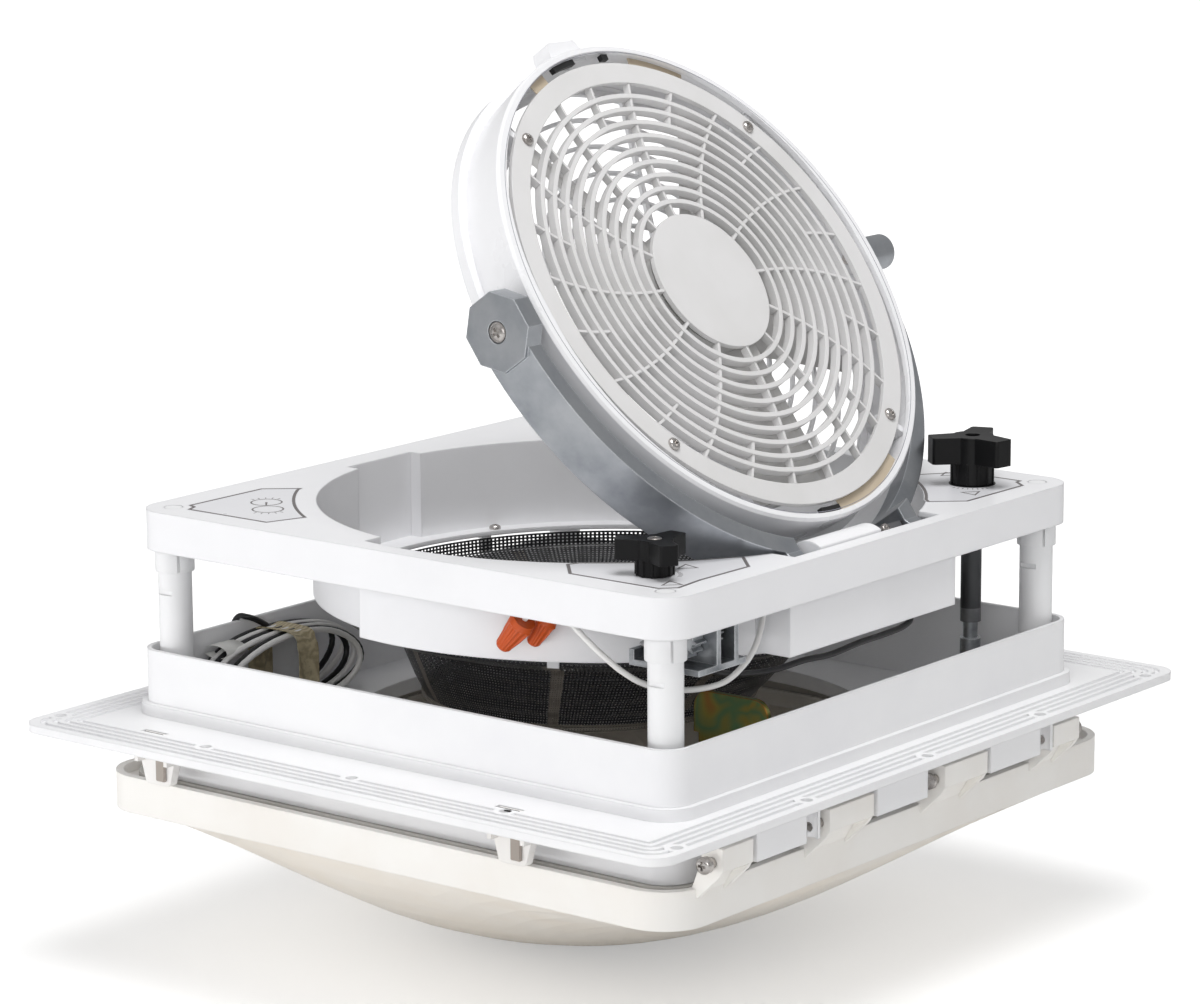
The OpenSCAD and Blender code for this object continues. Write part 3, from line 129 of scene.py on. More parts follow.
floor_mesh = bpy.data.meshes.new("studio_floor")
floor_corners = [(x * floor_half, y * floor_half, 0) for x, y in ((-1, -1), (1, -1), (1, 1), (-1, 1))]
floor_mesh.from_pydata(floor_corners, [], [(0, 1, 2, 3)])
floor = placed("studio_floor", floor_mesh)
floor.location.z = cad_box[0][2] - floor_gap
material, out, add, link = new_material("floor_paper")
paper = add("BsdfDiffuse", Color=(0.86, 0.86, 0.86, 1))
spot = add("NewGeometry")
far = add("VectorMath", "LENGTH")
fading = add("MapRange", From_Min=0.4, From_Max=2.0, To_Min=0.35, To_Max=0.85)
glow = add("Emission", Color=(1, 1, 1, 1))
dark = add("Emission", Color=(0, 0, 0, 1), Strength=0)
ray = add("LightPath")
pick = add("MixShader")
both = add("AddShader")
link(spot.outputs["Position"], far.inputs[0])
link(far.outputs["Value"], fading.inputs["Value"])
link(fading.outputs[0], glow.inputs["Strength"])
link(ray.outputs["Is Camera Ray"], pick.inputs[0])
link(dark.outputs[0], pick.inputs[1])
link(glow.outputs[0], pick.inputs[2])
link(paper.outputs[0], both.inputs[0])
link(pick.outputs[0], both.inputs[1])
link(both.outputs[0], out.inputs[0])
floor_mesh.materials.append(material)

world = bpy.data.worlds.new("studio_world")
scene.world = world
world.use_nodes = True
world.node_tree.nodes.clear()
add, link = node_tools(world.node_tree)
ray = add("LightPath")
seen = add("Math", "MAXIMUM")
level = add("MapRange", To_Min=0.42, To_Max=1.0)
sky = add("Background", Color=(1, 1, 1, 1))
world_out = add("OutputWorld")
link(ray.outputs["Is Camera Ray"], seen.inputs[0])
link(ray.outputs["Is Transmission Ray"], seen.inputs[1])
link(seen.outputs[0], level.inputs["Value"])
link(level.outputs[0], sky.inputs["Strength"])
link(sky.outputs[0], world_out.inputs[0])

for name, place, wide, tall, power in soft_boxes:
    lamp = bpy.data.lights.new(name, "AREA")
    lamp.shape = "RECTANGLE"
    lamp.size = wide
    lamp.size_y = tall
    lamp.energy = power
    box = placed(name, lamp)
    box.location = place
    box.rotation_euler = (lit_point - Vector(place)).to_track_quat("-Z", "Y").to_euler()
    box.visible_camera = False
    # The low box stands near the cast yoke and would glare in its metal.
    box.visible_glossy = name != "soft_box_low"

# Roof flange with throat, neck and skirt: one white injection moulding in
# satin polypropylene, with slight flow marks and softly broken edges. The
# surface group made here gives every moulded piece its grain and clouding.
roughness_spread = 0.05
moulded = bpy.data.node_groups.new("moulded_surface", "ShaderNodeTree")


def socket(group, name, kind, put_out=False, default=None):
    """Adds an input, or an output, to a shader node group."""
    made = group.interface.new_socket(name, in_out="OUTPUT" if put_out else "INPUT",
                                      socket_type="NodeSocket" + kind)
    if default is not None:
        made.default_value = default


socket(moulded, "Colour", "Color")
socket(moulded, "Cloud Colour", "Color")
socket(moulded, "Grain Scale", "Float", default=900.0)
socket(moulded, "Roughness", "Float", default=0.4)
socket(moulded, "Surface Colour", "Color", True)
socket(moulded, "Surface Roughness", "Float", True)
socket(moulded, "Height", "Float", True)
add, link = node_tools(moulded)
group_in, group_out = add("NodeGroupInput"), add("NodeGroupOutput")
where = add("TexCoord")
cloud = add("TexNoise", Scale=14.0, Detail=4.0, Roughness=0.55)
grain = add("TexNoise", Detail=2.0)
fade = add("MapRange", From_Min=0.42, From_Max=0.72)
tint = add("Mix", "RGBA")
rough = add("MapRange", From_Min=0.3, From_Max=0.7)
low = add("Math", "SUBTRACT")
low.inputs[1].default_value = roughness_spread
high = add("Math", "ADD")
high.inputs[1].default_value = roughness_spread
link(where.outputs["Object"], cloud.inputs["Vector"])
link(where.outputs["Object"], grain.inputs["Vector"])
link(group_in.outputs["Grain Scale"], grain.inputs["Scale"])
link(cloud.outputs["Fac"], fade.inputs["Value"])
link(fade.outputs[0], tint.inputs["Factor"])
link(group_in.outputs["Colour"], tint.inputs["A"])
link(group_in.outputs["Cloud Colour"], tint.inputs["B"])
link(group_in.outputs["Roughness"], low.inputs[0])
link(group_in.outputs["Roughness"], high.inputs[0])
link(cloud.outputs["Fac"], rough.inputs["Value"])
link(low.outputs[0], rough.inputs["To Min"])
link(high.outputs[0], rough.inputs["To Max"])
link(tint.outputs["Result"], group_out.inputs["Surface Colour"])
link(rough.outputs[0], group_out.inputs["Surface Roughness"])
link(grain.outputs["Fac"], group_out.inputs["Height"])


def moulding(name, colour, cloud_colour, roughness, edge=0.0005, grain_scale=900.0,
             grain_depth=0.00004, shine=0.5):
    """Moulded plastic material; edge is the radius of its broken edges."""
    material, out, add, link = new_material(name)
    surface = add("Group", moulded, Colour=linear(colour), Cloud_Colour=linear(cloud_colour),
                  Grain_Scale=grain_scale, Roughness=roughness)
    bump = add("Bump", Strength=0.5, Distance=grain_depth)
    shader = add("BsdfPrincipled", Specular_IOR_Level=shine)
    link(surface.outputs["Surface Colour"], shader.inputs["Base Color"])
    link(surface.outputs["Surface Roughness"], shader.inputs["Roughness"])
    link(surface.outputs["Height"], bump.inputs["Height"])
    if edge:
        soft = add("Bevel", Radius=edge)
        link(soft.outputs[0], bump.inputs["Normal"])
    link(bump.outputs[0], shader.inputs["Normal"])
    link(shader.outputs[0], out.inputs[0])
    return material


def dress(material, *names):
    """Gives CAD nodes this material in every slot."""
    for name in names:
        mesh = node[name].data
        mesh.materials.clear()
        mesh.materials.append(material)


roof_white = moulding("roof_white", "f3f3f4", "eeeef0", 0.42, edge=0.001)
dress(roof_white, "vent_base")

# Corner posts with their sleeves: white plastic, one pushed over the other.
# The screws that hold the trim frame to the posts are painted to match.
post_white = moulding("post_white", "f3f3f4", "eeeff0", 0.36)
dress(post_white, "corner_posts", "post_sleeves", "post_screws")

# Spring clips on the flange's two clipped edges: white plastic, each hooked
# up through an open slot of the flange. The clip's own slot is blind, with a
# web behind its face that is painted taupe as the slot's shade.
clip_x = (-0.1385, 0.0965)
web_x, web_z, web_deep = (0.0002, 0.0063), (-0.0256, -0.0058), (0.0050, 0.0030)
shade_x, shade_z, shade_proud = (0.0004, 0.0061), (-0.0092, -0.0060), 0.0007
hook_x, hook_z, hook_deep = (-0.0066, 0.0066), (-0.0009, -0.00025), (0.0033, 0.0002)
clip_white = moulding("clip_white", "f2f0ee", "ebe8e4", 0.4, edge=0.0007)
dress(clip_white, "edge_clips")
# Painted shade: the taupe of the web behind each clip's face.
web_shade_paint = moulding("web_shade_paint", "a89f97", "9b928a", 0.6, edge=0)
# Painted shadow: the dark of the blocks at the top of each clip's slot and on its hook down in the flange's
# slot.
slot_shadow_paint = moulding("slot_shadow_paint", "2e2c2a", "262422", 0.8, edge=0)


def solid(name, points, faces, material, body, matrix=None, sharp=35):
    """Mesh piece from points in metres; it rides on a CAD body."""
    mesh = bpy.data.meshes.new(name)
    mesh.from_pydata([tuple(p) for p in points], [], faces)
    mesh.validate()
    shape = bmesh.new()
    shape.from_mesh(mesh)
    bmesh.ops.recalc_face_normals(shape, faces=shape.faces)
    shape.to_mesh(mesh)
    shape.free()
    mesh.shade_smooth()
    mesh.set_sharp_from_angle(angle=math.radians(sharp))
    mesh.materials.append(material)
    made = placed(name, mesh)
    if matrix is not None:
        made.matrix_world = matrix
    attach(made, body)
    return made


def block(name, low, high, edge, material, body, matrix=None):
    """Rectangular moulding between two corners, with rounded edges."""
    corners = list(itertools.product(*zip(low, high)))
    faces = [(0, 1, 3, 2), (4, 6, 7, 5), (0, 4, 5, 1), (2, 3, 7, 6), (0, 2, 6, 4), (1, 5, 7, 3)]
    made = solid(name, corners, faces, material, body, matrix)
    shape = bmesh.new()
    shape.from_mesh(made.data)
    bmesh.ops.bevel(shape, geom=shape.edges[:], offset=edge, segments=2, affect="EDGES")
    shape.to_mesh(made.data)
    shape.free()


clip_low, clip_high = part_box("edge_clips")
for k, (side, x) in enumerate(itertools.product((-1, 1), clip_x)):
    face_y = clip_low.y if side < 0 else clip_high.y
    web_y = sorted(face_y - side * deep for deep in web_deep)
    hook_y = sorted(face_y - side * deep for deep in hook_deep)
    shade_y = (web_y[0] + 0.0001, web_y[1] + (shade_proud if side > 0 else 0))
    for part, xs, ys, zs, edge, material in (("clip_shade_web", web_x, web_y, web_z, 0.0004, web_shade_paint),
                                             ("clip_shade", shade_x, shade_y, shade_z, 0.0003, slot_shadow_paint),
                                             ("hook_shade", hook_x, hook_y, hook_z, 0.0002, slot_shadow_paint)):
        block("%s_%d" % (part, k), (x + xs[0], ys[0], zs[0]), (x + xs[1], ys[1], zs[1]), edge,
              material, "base")

# Screws: domed pan heads pressed from bright steel, with a cross recess, on
# the grille, the yoke, the ledge, the fan knob and the lid's hinge pin. The
# lift's shaft, arm and track are of the same steel.
hinge_at, hinge_drop, swing_deg = (0.160, 0, 0.097), 0.0099, 54.2
grille_screw_r, grille_screw_z, grille_screw_deg, recess_turn = 0.1225, 0.0101, 40.7, 0.5
pivot_face_y = 0.1572
ledge_screw_r, ledge_screw_z, ledge_screw_deg = 0.147, 0.0612, (64, 154, 244)
foot_screw_at, lid_pin_at = (0.151, 0.0285, 0.0094), (0.198, -0.180, -0.015)
# Radius and height of each head.
grille_head, foot_head, pivot_head = (0.0034, 0.0022), (0.0032, 0.0019), (0.0050, 0.0034)
ledge_head, lid_pin_head = (0.0032, 0.0024), (0.0043, 0.0024)
# Edge mask where the softened normal bends away from the face: painted highlight on the zinc and the yoke,
# the copper rim on the chromate.
edge_highlight_and_wear = bpy.data.node_groups.new("edge_highlight_and_wear", "ShaderNodeTree")
socket(edge_highlight_and_wear, "Softened Normal", "Vector")
socket(edge_highlight_and_wear, "Worn Below", "Float", default=0.93)
socket(edge_highlight_and_wear, "Sound Above", "Float", default=0.995)
socket(edge_highlight_and_wear, "Rim Mask", "Float", True)
add, link = node_tools(edge_highlight_and_wear)
group_in, group_out = add("NodeGroupInput"), add("NodeGroupOutput")
flat = add("NewGeometry")
bent = add("VectorMath", "DOT_PRODUCT")
fall = add("MapRange", To_Min=1.0, To_Max=0.0)
link(group_in.outputs["Softened Normal"], bent.inputs[0])
link(flat.outputs["Normal"], bent.inputs[1])
link(bent.outputs["Value"], fall.inputs["Value"])
link(group_in.outputs["Worn Below"], fall.inputs["From Min"])
link(group_in.outputs["Sound Above"], fall.inputs["From Max"])
link(fall.outputs[0], group_out.inputs["Rim Mask"])

metal = bpy.data.node_groups.new("plated_surface", "ShaderNodeTree")
socket(metal, "Colour", "Color")
socket(metal, "Stain Colour", "Color")
socket(metal, "Stain Scale", "Float", default=60.0)
socket(metal, "Roughness", "Float", default=0.3)
socket(metal, "Surface Colour", "Color", True)
socket(metal, "Surface Roughness", "Float", True)
socket(metal, "Height", "Float", True)
stain_roughness = 0.16
add, link = node_tools(metal)
group_in, group_out = add("NodeGroupInput"), add("NodeGroupOutput")
where = add("TexCoord")
stain = add("TexNoise", Detail=6.0, Roughness=0.6)
fade = add("MapRange", From_Min=0.38, From_Max=0.66)
tint = add("Mix", "RGBA")
rise = add("Math", "MULTIPLY")
rise.inputs[1].default_value = stain_roughness
total = add("Math", "ADD")
link(where.outputs["Object"], stain.inputs["Vector"])
link(group_in.outputs["Stain Scale"], stain.inputs["Scale"])
link(stain.outputs["Fac"], fade.inputs["Value"])
link(fade.outputs[0], tint.inputs["Factor"])
link(group_in.outputs["Colour"], tint.inputs["A"])
link(group_in.outputs["Stain Colour"], tint.inputs["B"])
link(fade.outputs[0], rise.inputs[0])
link(rise.outputs[0], total.inputs[0])
link(group_in.outputs["Roughness"], total.inputs[1])
link(tint.outputs["Result"], group_out.inputs["Surface Colour"])
link(total.outputs[0], group_out.inputs["Surface Roughness"])
link(stain.outputs["Fac"], group_out.inputs["Height"])


def plating(name, colour, stain_colour, roughness, stain_scale=60.0, depth=0.00006, edge=0.0004,
            rim=None, metallic=1.0):
    """Bare or plated metal; rim is the colour of its bright edges, a painted highlight."""
    material, out, add, link = new_material(name)
    surface = add("Group", metal, Colour=linear(colour), Stain_Colour=linear(stain_colour),
                  Stain_Scale=stain_scale, Roughness=roughness)
    bump = add("Bump", Strength=0.4, Distance=depth)
    shader = add("BsdfPrincipled", Metallic=metallic)
    soft = add("Bevel", Radius=edge)
    link(soft.outputs[0], bump.inputs["Normal"])
    link(surface.outputs["Surface Roughness"], shader.inputs["Roughness"])
    link(surface.outputs["Height"], bump.inputs["Height"])
    link(bump.outputs[0], shader.inputs["Normal"])
    painted = surface.outputs["Surface Colour"]
    if rim:
        rim_mask = add("Group", edge_highlight_and_wear, Worn_Below=0.93, Sound_Above=0.995)
        mix = add("Mix", "RGBA", B=linear(rim))
        link(soft.outputs[0], rim_mask.inputs["Softened Normal"])
        link(rim_mask.outputs["Rim Mask"], mix.inputs["Factor"])
        link(painted, mix.inputs["A"])
        painted = mix.outputs["Result"]
    link(painted, shader.inputs["Base Color"])
    link(shader.outputs[0], out.inputs[0])
    return material


def ring_faces(rings, steps):
    """Faces that join rings of points one after the other and close both ends."""
    faces = []
    for i in range(rings - 1):
        for k in range(steps):
            n = (k + 1) % steps
            faces.append((i * steps + k, i * steps + n, (i + 1) * steps + n, (i + 1) * steps + k))
    faces.append(tuple(range(steps))[::-1])
    faces.append(tuple(range((rings - 1) * steps, rings * steps)))
    return faces


def built_mesh(maker, material):
    """The maker's mesh with its modifier or curve worked out, in one material."""
    bpy.context.view_layer.update()
    depsgraph = bpy.context.evaluated_depsgraph_get()
    mesh = bpy.data.meshes.new_from_object(maker.evaluated_get(depsgraph))
    mesh.materials.clear()
    mesh.materials.append(material)
    return mesh


def cross_screw(name, head, matrix, body):
    """Pan head standing on z = 0 of the matrix, with a cross recess."""
    steps = 40
    radius, height = head
    points = []
    for share, rise in ((0.97, 0), (1, 0.2), (0.97, 0.5), (0.82, 0.8), (0.5, 0.97), (0.16, 1)):
        r, h = radius * share, height * rise
        points += [(r * math.cos(math.tau * k / steps), r * math.sin(math.tau * k / steps), h)
                   for k in range(steps)]
    made = solid(name, points, ring_faces(len(points) // steps, steps), bright_steel, body, matrix)
    arm, half, deep = radius * 0.62, radius * 0.15, height * 0.75
    points, faces = [], []
    for x, y in ((arm, half), (half, arm)):
        first = len(points)
        for z, part in ((height - deep, 0.55), (height * 1.3, 1.0)):
            px, py = (x * part, y) if x > y else (x, y * part)
            points += [(-px, -py, z), (px, -py, z), (px, py, z), (-px, py, z)]
        faces += [tuple(first + i for i in face) for face in
                  ((3, 2, 1, 0), (4, 5, 6, 7), (0, 1, 5, 4), (1, 2, 6, 5), (2, 3, 7, 6), (3, 0, 4, 7))]
    tool_mesh = bpy.data.meshes.new("recess_tool")
    tool_mesh.from_pydata(points, [], faces)
    tool = placed("recess_tool", tool_mesh)
    tool.matrix_world = matrix
    cut = made.modifiers.new("recess", "BOOLEAN")
    cut.operation = "DIFFERENCE"
    cut.solver = "EXACT"
    cut.use_self = True
    cut.object = tool
    shaped = built_mesh(made, bright_steel)
    made.modifiers.clear()
    made.data = shaped
    bpy.data.objects.remove(tool)


def turned(degrees, axis):
    """Turn about an axis, in degrees."""
    return Matrix.Rotation(math.radians(degrees), 4, axis)


fan_turn = (Matrix.Translation(hinge_at) @ turned(swing_deg, "Y")
            @ Matrix.Translation((-hinge_at[0], 0, -hinge_drop)))
bright_steel = plating("bright_steel", "cfcbc8", "98928e", 0.2, 120.0)
dress(bright_steel, "ledge_screws", "hinge_pins", "lift_shaft", "lift_arm", "lid_track",
      "track_screws", "foot_screw", "pivot_screws", "grille_screws", "fan_knob_screw")
for k in range(4):
    seat = Matrix.Translation((grille_screw_r, 0, grille_screw_z)) @ Matrix.Rotation(recess_turn + k, 4, "Z")
    cross_screw("grille_screw_head_%d" % k, grille_head,
                fan_turn @ turned(grille_screw_deg + 90 * k, "Z") @ seat, "fan_head")
cross_screw("foot_screw_head", foot_head, fan_turn @ Matrix.Translation(foot_screw_at), "yoke")
for k, side in enumerate((-1, 1)):
    cross_screw("pivot_screw_head_%d" % k, pivot_head,
                fan_turn @ Matrix.Translation((0, side * pivot_face_y, 0)) @ turned(-90 * side, "X"),
                "yoke")
for k, turn_deg in enumerate(ledge_screw_deg):
    cross_screw("ledge_screw_head_%d" % k, ledge_head,
                turned(turn_deg, "Z") @ Matrix.Translation((ledge_screw_r, 0, ledge_screw_z)), "base")
cross_screw("lid_pin_screw_head", lid_pin_head, Matrix.Translation(lid_pin_at) @ turned(90, "X"), "base")

# Trim frame on the room side with the hinge housing: satin white moulding,
# its edges softly rounded. Three glued paper plates carry a grey outline,
# dial rings, graduations and turning arrows.
trim_face_z, paper_thick, ink_thick = 0.10785, 0.00012, 0.00004
ink_z = trim_face_z + paper_thick
well_edge_r = 0.163
fan_knob_at, lid_knob_at, knob_hole_r = (0.135, -0.136), (0.135, 0.136), 0.0075
dials = ((-0.1291, -0.1229), (-0.1167, -0.1353))
plate_line, dial_r, arrow_r, arrow_line = (0.0004, 0.0021), (0.0084, 0.0075), 0.0064, 0.0009
tick_half, hole_shade_r, hole_shade_thick = (0.0011, 0.0003), (0.0123, 0.0066), 0.0002
# Each plate: its knob, its arc along the well in degrees, its corners in millimetres.
plates = (("left", None, 211, 240, ((-94.7, -160.6), (-149.7, -161.0), (-151.9, -154.8),
                                    (-156.7, -152.8), (-155.7, -98.5), (-138.4, -84.2))),
          ("near", fan_knob_at, 301, 332, ((145.6, -77.8), (161.4, -94.2), (160.4, -131.7),
                                           (162.3, -151.9), (154.6, -159.4), (100.5, -159.6),
                                           (86.0, -143.5))),
          ("far", lid_knob_at, 55, 30, ((143.4, 81.8), (159.8, 95.7), (160.6, 147.3), (153.4, 153.0),
                                        (152.8, 157.5), (114, 158), (98, 138))))
# Each arrow: its middle and turn. Each row of ticks: middle, radius, arc and number.
arrows = ((0.1531, -0.1464, 135), (0.1370, -0.1132, 135), (0.1490, 0.1150, 80), (0.1120, 0.1480, 260))
pointer_mm = ((-129.6, -123.4), (-128.7, -122.5), (-123.6, -128.5), (-124.2, -129.0))
tick_rows = ((*dials[0], 0.0105, 95, 175, 5), (*dials[1], 0.0105, 275, 355, 5),
             (*fan_knob_at, 0.0125, 20, 100, 9), (*lid_knob_at, 0.0150, 265, 335, 8))
trim_white = moulding("trim_white", "f3f3f5", "efeff1", 0.33, edge=0.0013)
dress(trim_white, "trim_frame", "hinge_housing", "hinge_barrel")
plate_paper = moulding("plate_paper", "e9e9ec", "e3e3e7", 0.3, edge=0, grain_depth=0.00001)
plate_ink = moulding("plate_ink", "6f6b6b", "65605f", 0.45, edge=0, grain_depth=0.00001)


def flat_art(name, loops, z, thick, material):
    """Thin flat piece on the base; each further loop inside another is a hole."""
    shape = bpy.data.curves.new(name, "CURVE")
    shape.dimensions = "2D"
    shape.fill_mode = "BOTH"
    shape.extrude = thick / 2
    for loop in loops:
        line = shape.splines.new("POLY")
        line.points.add(len(loop) - 1)
        for point, (x, y) in zip(line.points, loop):
            point.co = (x, y, 0, 1)
        line.use_cyclic_u = True
    maker = placed(name + "_maker", shape)
    mesh = built_mesh(maker, material)
    bpy.data.objects.remove(maker)
    made = placed(name, mesh)
    made.location.z = z + thick / 2
    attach(made, "base")


def printed(name, *loops):
    """Printed line or shape on the paper."""
    flat_art(name, loops, ink_z, ink_thick, plate_ink)


def inset(loop, d):
    """Closed outline moved inwards by d; the loop runs counterclockwise."""
    least_share = 0.35
    moved = []
    for i, here in enumerate(loop):
        a, b = Vector(loop[i - 1]), Vector(here)
        c = Vector(loop[(i + 1) % len(loop)])
        u, v = (b - a).normalized(), (c - b).normalized()
        n = Vector((-u.y - v.y, u.x + v.x))
        n = n / max(n.length, 1e-6)
        moved.append(tuple(b + n * d / max(least_share, n.dot(Vector((-u.y, u.x))))))
    return moved


def arc_loop(x, y, r, start=0, stop=360, steps=40):
    """Points of an arc in degrees; a full turn leaves its last point out."""
    return [(x + r * math.cos(math.radians(start + (stop - start) * k / steps)),
             y + r * math.sin(math.radians(start + (stop - start) * k / steps)))
            for k in range(steps + (stop - start != 360))]


def from_mm(points):
    """Points in metres from points in millimetres."""
    return [(x / 1000, y / 1000) for x, y in points]


def plate_outline(corners, start, stop):
    """Corner points closed by an arc along the edge of the round well."""
    loop = from_mm(corners) + arc_loop(0, 0, well_edge_r, start, stop, 14)[1:-1]
    area = sum(loop[i - 1][0] * loop[i][1] - loop[i][0] * loop[i - 1][1] for i in range(len(loop)))
    return loop if area > 0 else loop[::-1]


for name, knob_at, start, stop, corners in plates:
    loop = plate_outline(corners, start, stop)
    holes = [arc_loop(*knob_at, knob_hole_r)] if knob_at else []
    flat_art("plate_%s" % name, [loop] + holes, trim_face_z, paper_thick, plate_paper)
    printed("plate_%s_line" % name, *(inset(loop, d) for d in plate_line))
for k, (x, y) in enumerate(dials):
    printed("dial_ring_%d" % k, *(arc_loop(x, y, r, 35, 395) for r in dial_r))
for k, (x, y, turn_deg) in enumerate(arrows):
    triangle = [(x + arrow_r * math.cos(math.radians(turn_deg + a)),
                 y + arrow_r * math.sin(math.radians(turn_deg + a))) for a in (0, 120, 240)]
    printed("turn_arrow_%d" % k, triangle, inset(triangle, arrow_line))
printed("dial_pointer", from_mm(pointer_mm))
ticks = 0
for x, y, r, start, stop, count in tick_rows:
    for k in range(count):
        a = math.radians(start + (stop - start) * k / (count - 1))
        outward, across = Vector((math.cos(a), math.sin(a))), Vector((-math.sin(a), math.cos(a)))
        middle = Vector((x, y)) + outward * r
        tick = [tuple(middle + outward * i * tick_half[0] + across * j * tick_half[1])
                for i, j in ((-1, -1), (1, -1), (1, 1), (-1, 1))]
        printed("dial_tick_%d" % ticks, tick)
        ticks += 1
# Painted shadow: a thin black ring round the lid knob's stem stands for the shade in the hole round it.
knob_hole_shade = moulding("knob_hole_shade", "151516", "101011", 0.5, edge=0)
flat_art("knob_hole_shade_ring", [arc_loop(*lid_knob_at, r) for r in hole_shade_r], ink_z, hole_shade_thick, knob_hole_shade)

# Insect screen: black coated wire cloth drawn into a basket. It is one thin
# sheet, see-through between its wires, with pleats at the tight side, denser
# seam strips, a rolled hem and white straps that hold it down. Seam strips and
# hem are painted paler than the cloth, as glints on their doubled wire.
cloth_inset, most_lift = 0.0008, 0.0006
# Rings of the basket from its rim down: height, radius and middle.
basket = ((0.0580, 0.1420, 0.0, 0.0), (0.0500, 0.1420, 0.0, 0.0), (0.0450, 0.1300, -0.0006, -0.0004),
          (0.0410, 0.1120, -0.0020, -0.0015), (0.0300, 0.1050, -0.0040, -0.0030),
          (0.0160, 0.0960, -0.0068, -0.0050), (0.0060, 0.0885, -0.0086, -0.0065),
          (0.0024, 0.0850, -0.0090, -0.0070))
pleat_deep, pleat_rate, pleat_span, tight_deg = 0.0011, 62, (0.4, 0.97), 38
sag_deep, sag_count, sag_turn = 0.0006, 6, 0.7
weave_pitch, weave_r = 0.0013, 0.110
bottom_dip, bottom_rings = 0.0009, 40
seam_span, seam_lift = (0.16, 0.985), 0.0003
hem_span, hem_lift, hem_roll = (0.84, 0.995), 0.0004, 0.0018
seams = ((28, 3.2), (88, 3.2), (150, 3.2), (212, 3.2), (246, 3.4), (296, 3.6), (338, 3.4))
weave = bpy.data.node_groups.new("wire_weave", "ShaderNodeTree")
socket(weave, "Cloth Place", "Vector")
socket(weave, "Pitch Share", "Float", default=1.0)
socket(weave, "Wire Share", "Float", default=0.5)
socket(weave, "Wire", "Float", True)
add, link = node_tools(weave)
group_in, group_out = add("NodeGroupInput"), add("NodeGroupOutput")
split = add("SeparateXYZ")
either = add("Math", "MAXIMUM")
link(group_in.outputs["Cloth Place"], split.inputs[0])
for k in range(2):
    many = add("Math", "MULTIPLY")
    part = add("Math", "FRACT")
    thread = add("Math", "LESS_THAN")
    link(split.outputs[k], many.inputs[0])
    link(group_in.outputs["Pitch Share"], many.inputs[1])
    link(many.outputs[0], part.inputs[0])
    link(part.outputs[0], thread.inputs[0])
    link(group_in.outputs["Wire Share"], thread.inputs[1])
    link(thread.outputs[0], either.inputs[k])
link(either.outputs[0], group_out.inputs["Wire"])


def woven(name, colour, pitch_share, wire_share, roughness):
    """Wire cloth: threads where the weave is, nothing between them."""
    material, out, add, link = new_material(name)
    where = add("UVMap")
    pattern = add("Group", weave, Pitch_Share=pitch_share, Wire_Share=wire_share)
    wire = add("BsdfPrincipled", Base_Color=linear(colour), Roughness=roughness)
    link(where.outputs[0], pattern.inputs["Cloth Place"])
    link(pattern.outputs["Wire"], wire.inputs["Alpha"])
    link(wire.outputs[0], out.inputs[0])
    return material


def basket_ring(level):
    """Height, radius and middle of the basket; level runs 0..1 down it."""
    at = level * (len(basket) - 1)
    i = min(int(at), len(basket) - 2)
    return [basket[i][j] + (basket[i + 1][j] - basket[i][j]) * (at - i) for j in range(4)]


def basket_point(turn_rad, level, lift):
    """Point of the pleated and slightly sagging cloth."""
    h, r, x, y = basket_ring(level)
    tight = max(0.0, math.cos(turn_rad + math.radians(tight_deg))) ** 3
    fold = pleat_deep * tight * math.sin(level * pleat_rate) * (pleat_span[0] < level < pleat_span[1])
    sag = sag_deep * math.sin(turn_rad * sag_count + sag_turn) * math.sin(level * math.pi)
    r = r - cloth_inset + min(fold + sag, most_lift) + lift
    return (x + r * math.cos(turn_rad), y + r * math.sin(turn_rad), h)


def sheet_faces(first, rows, steps):
    """Four-sided faces of a grid of points that starts at this one."""
    starts = [first + j * (steps + 1) + k for j in range(rows) for k in range(steps)]
    return [(a, a + 1, a + steps + 2, a + steps + 1) for a in starts]


def cloth_sheet(name, start, stop, top, bottom, steps, rows, lift, material, bottom_disc=False, roll=0.0):
    """Part of the basket as one sheet with the weave's own coordinates."""
    points, uvs = [], []
    down = 0.0
    previous = None
    for j in range(rows + 1):
        level = top + (bottom - top) * j / rows
        h, r, x, y = basket_ring(level)
        if previous:
            down += math.hypot(h - previous[0], r - previous[1])
        previous = (h, r)
        for k in range(steps + 1):
            turn_rad = math.radians(start + (stop - start) * k / steps)
            points.append(basket_point(turn_rad, level, lift + roll * math.sin(math.pi * j / rows)))
            uvs.append((turn_rad * weave_r / weave_pitch, down / weave_pitch))
    faces = sheet_faces(0, rows, steps)
    if bottom_disc:
        first = len(points)
        for i in range(bottom_rings + 1):
            for k in range(steps + 1):
                share = 1 - i / bottom_rings
                edge_x, edge_y, edge_z = points[rows * (steps + 1) + k]
                px, py = x + (edge_x - x) * share, y + (edge_y - y) * share
                points.append((px, py, edge_z - bottom_dip * (1 - share ** 2)))
                uvs.append((px / weave_pitch, py / weave_pitch))
        faces += sheet_faces(first, bottom_rings, steps)
    mesh = bpy.data.meshes.new(name)
    mesh.from_pydata(points, [], faces)
    layer = mesh.uv_layers.new(name="weave")
    for loop in mesh.loops:
        layer.data[loop.index].uv = uvs[loop.vertex_index]
    mesh.shade_smooth()
    mesh.materials.append(material)
    made = placed(name, mesh)
    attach(made, "base")
    return made


screen_wire = woven("screen_wire", "242426", 0.7, 0.56, 0.36)
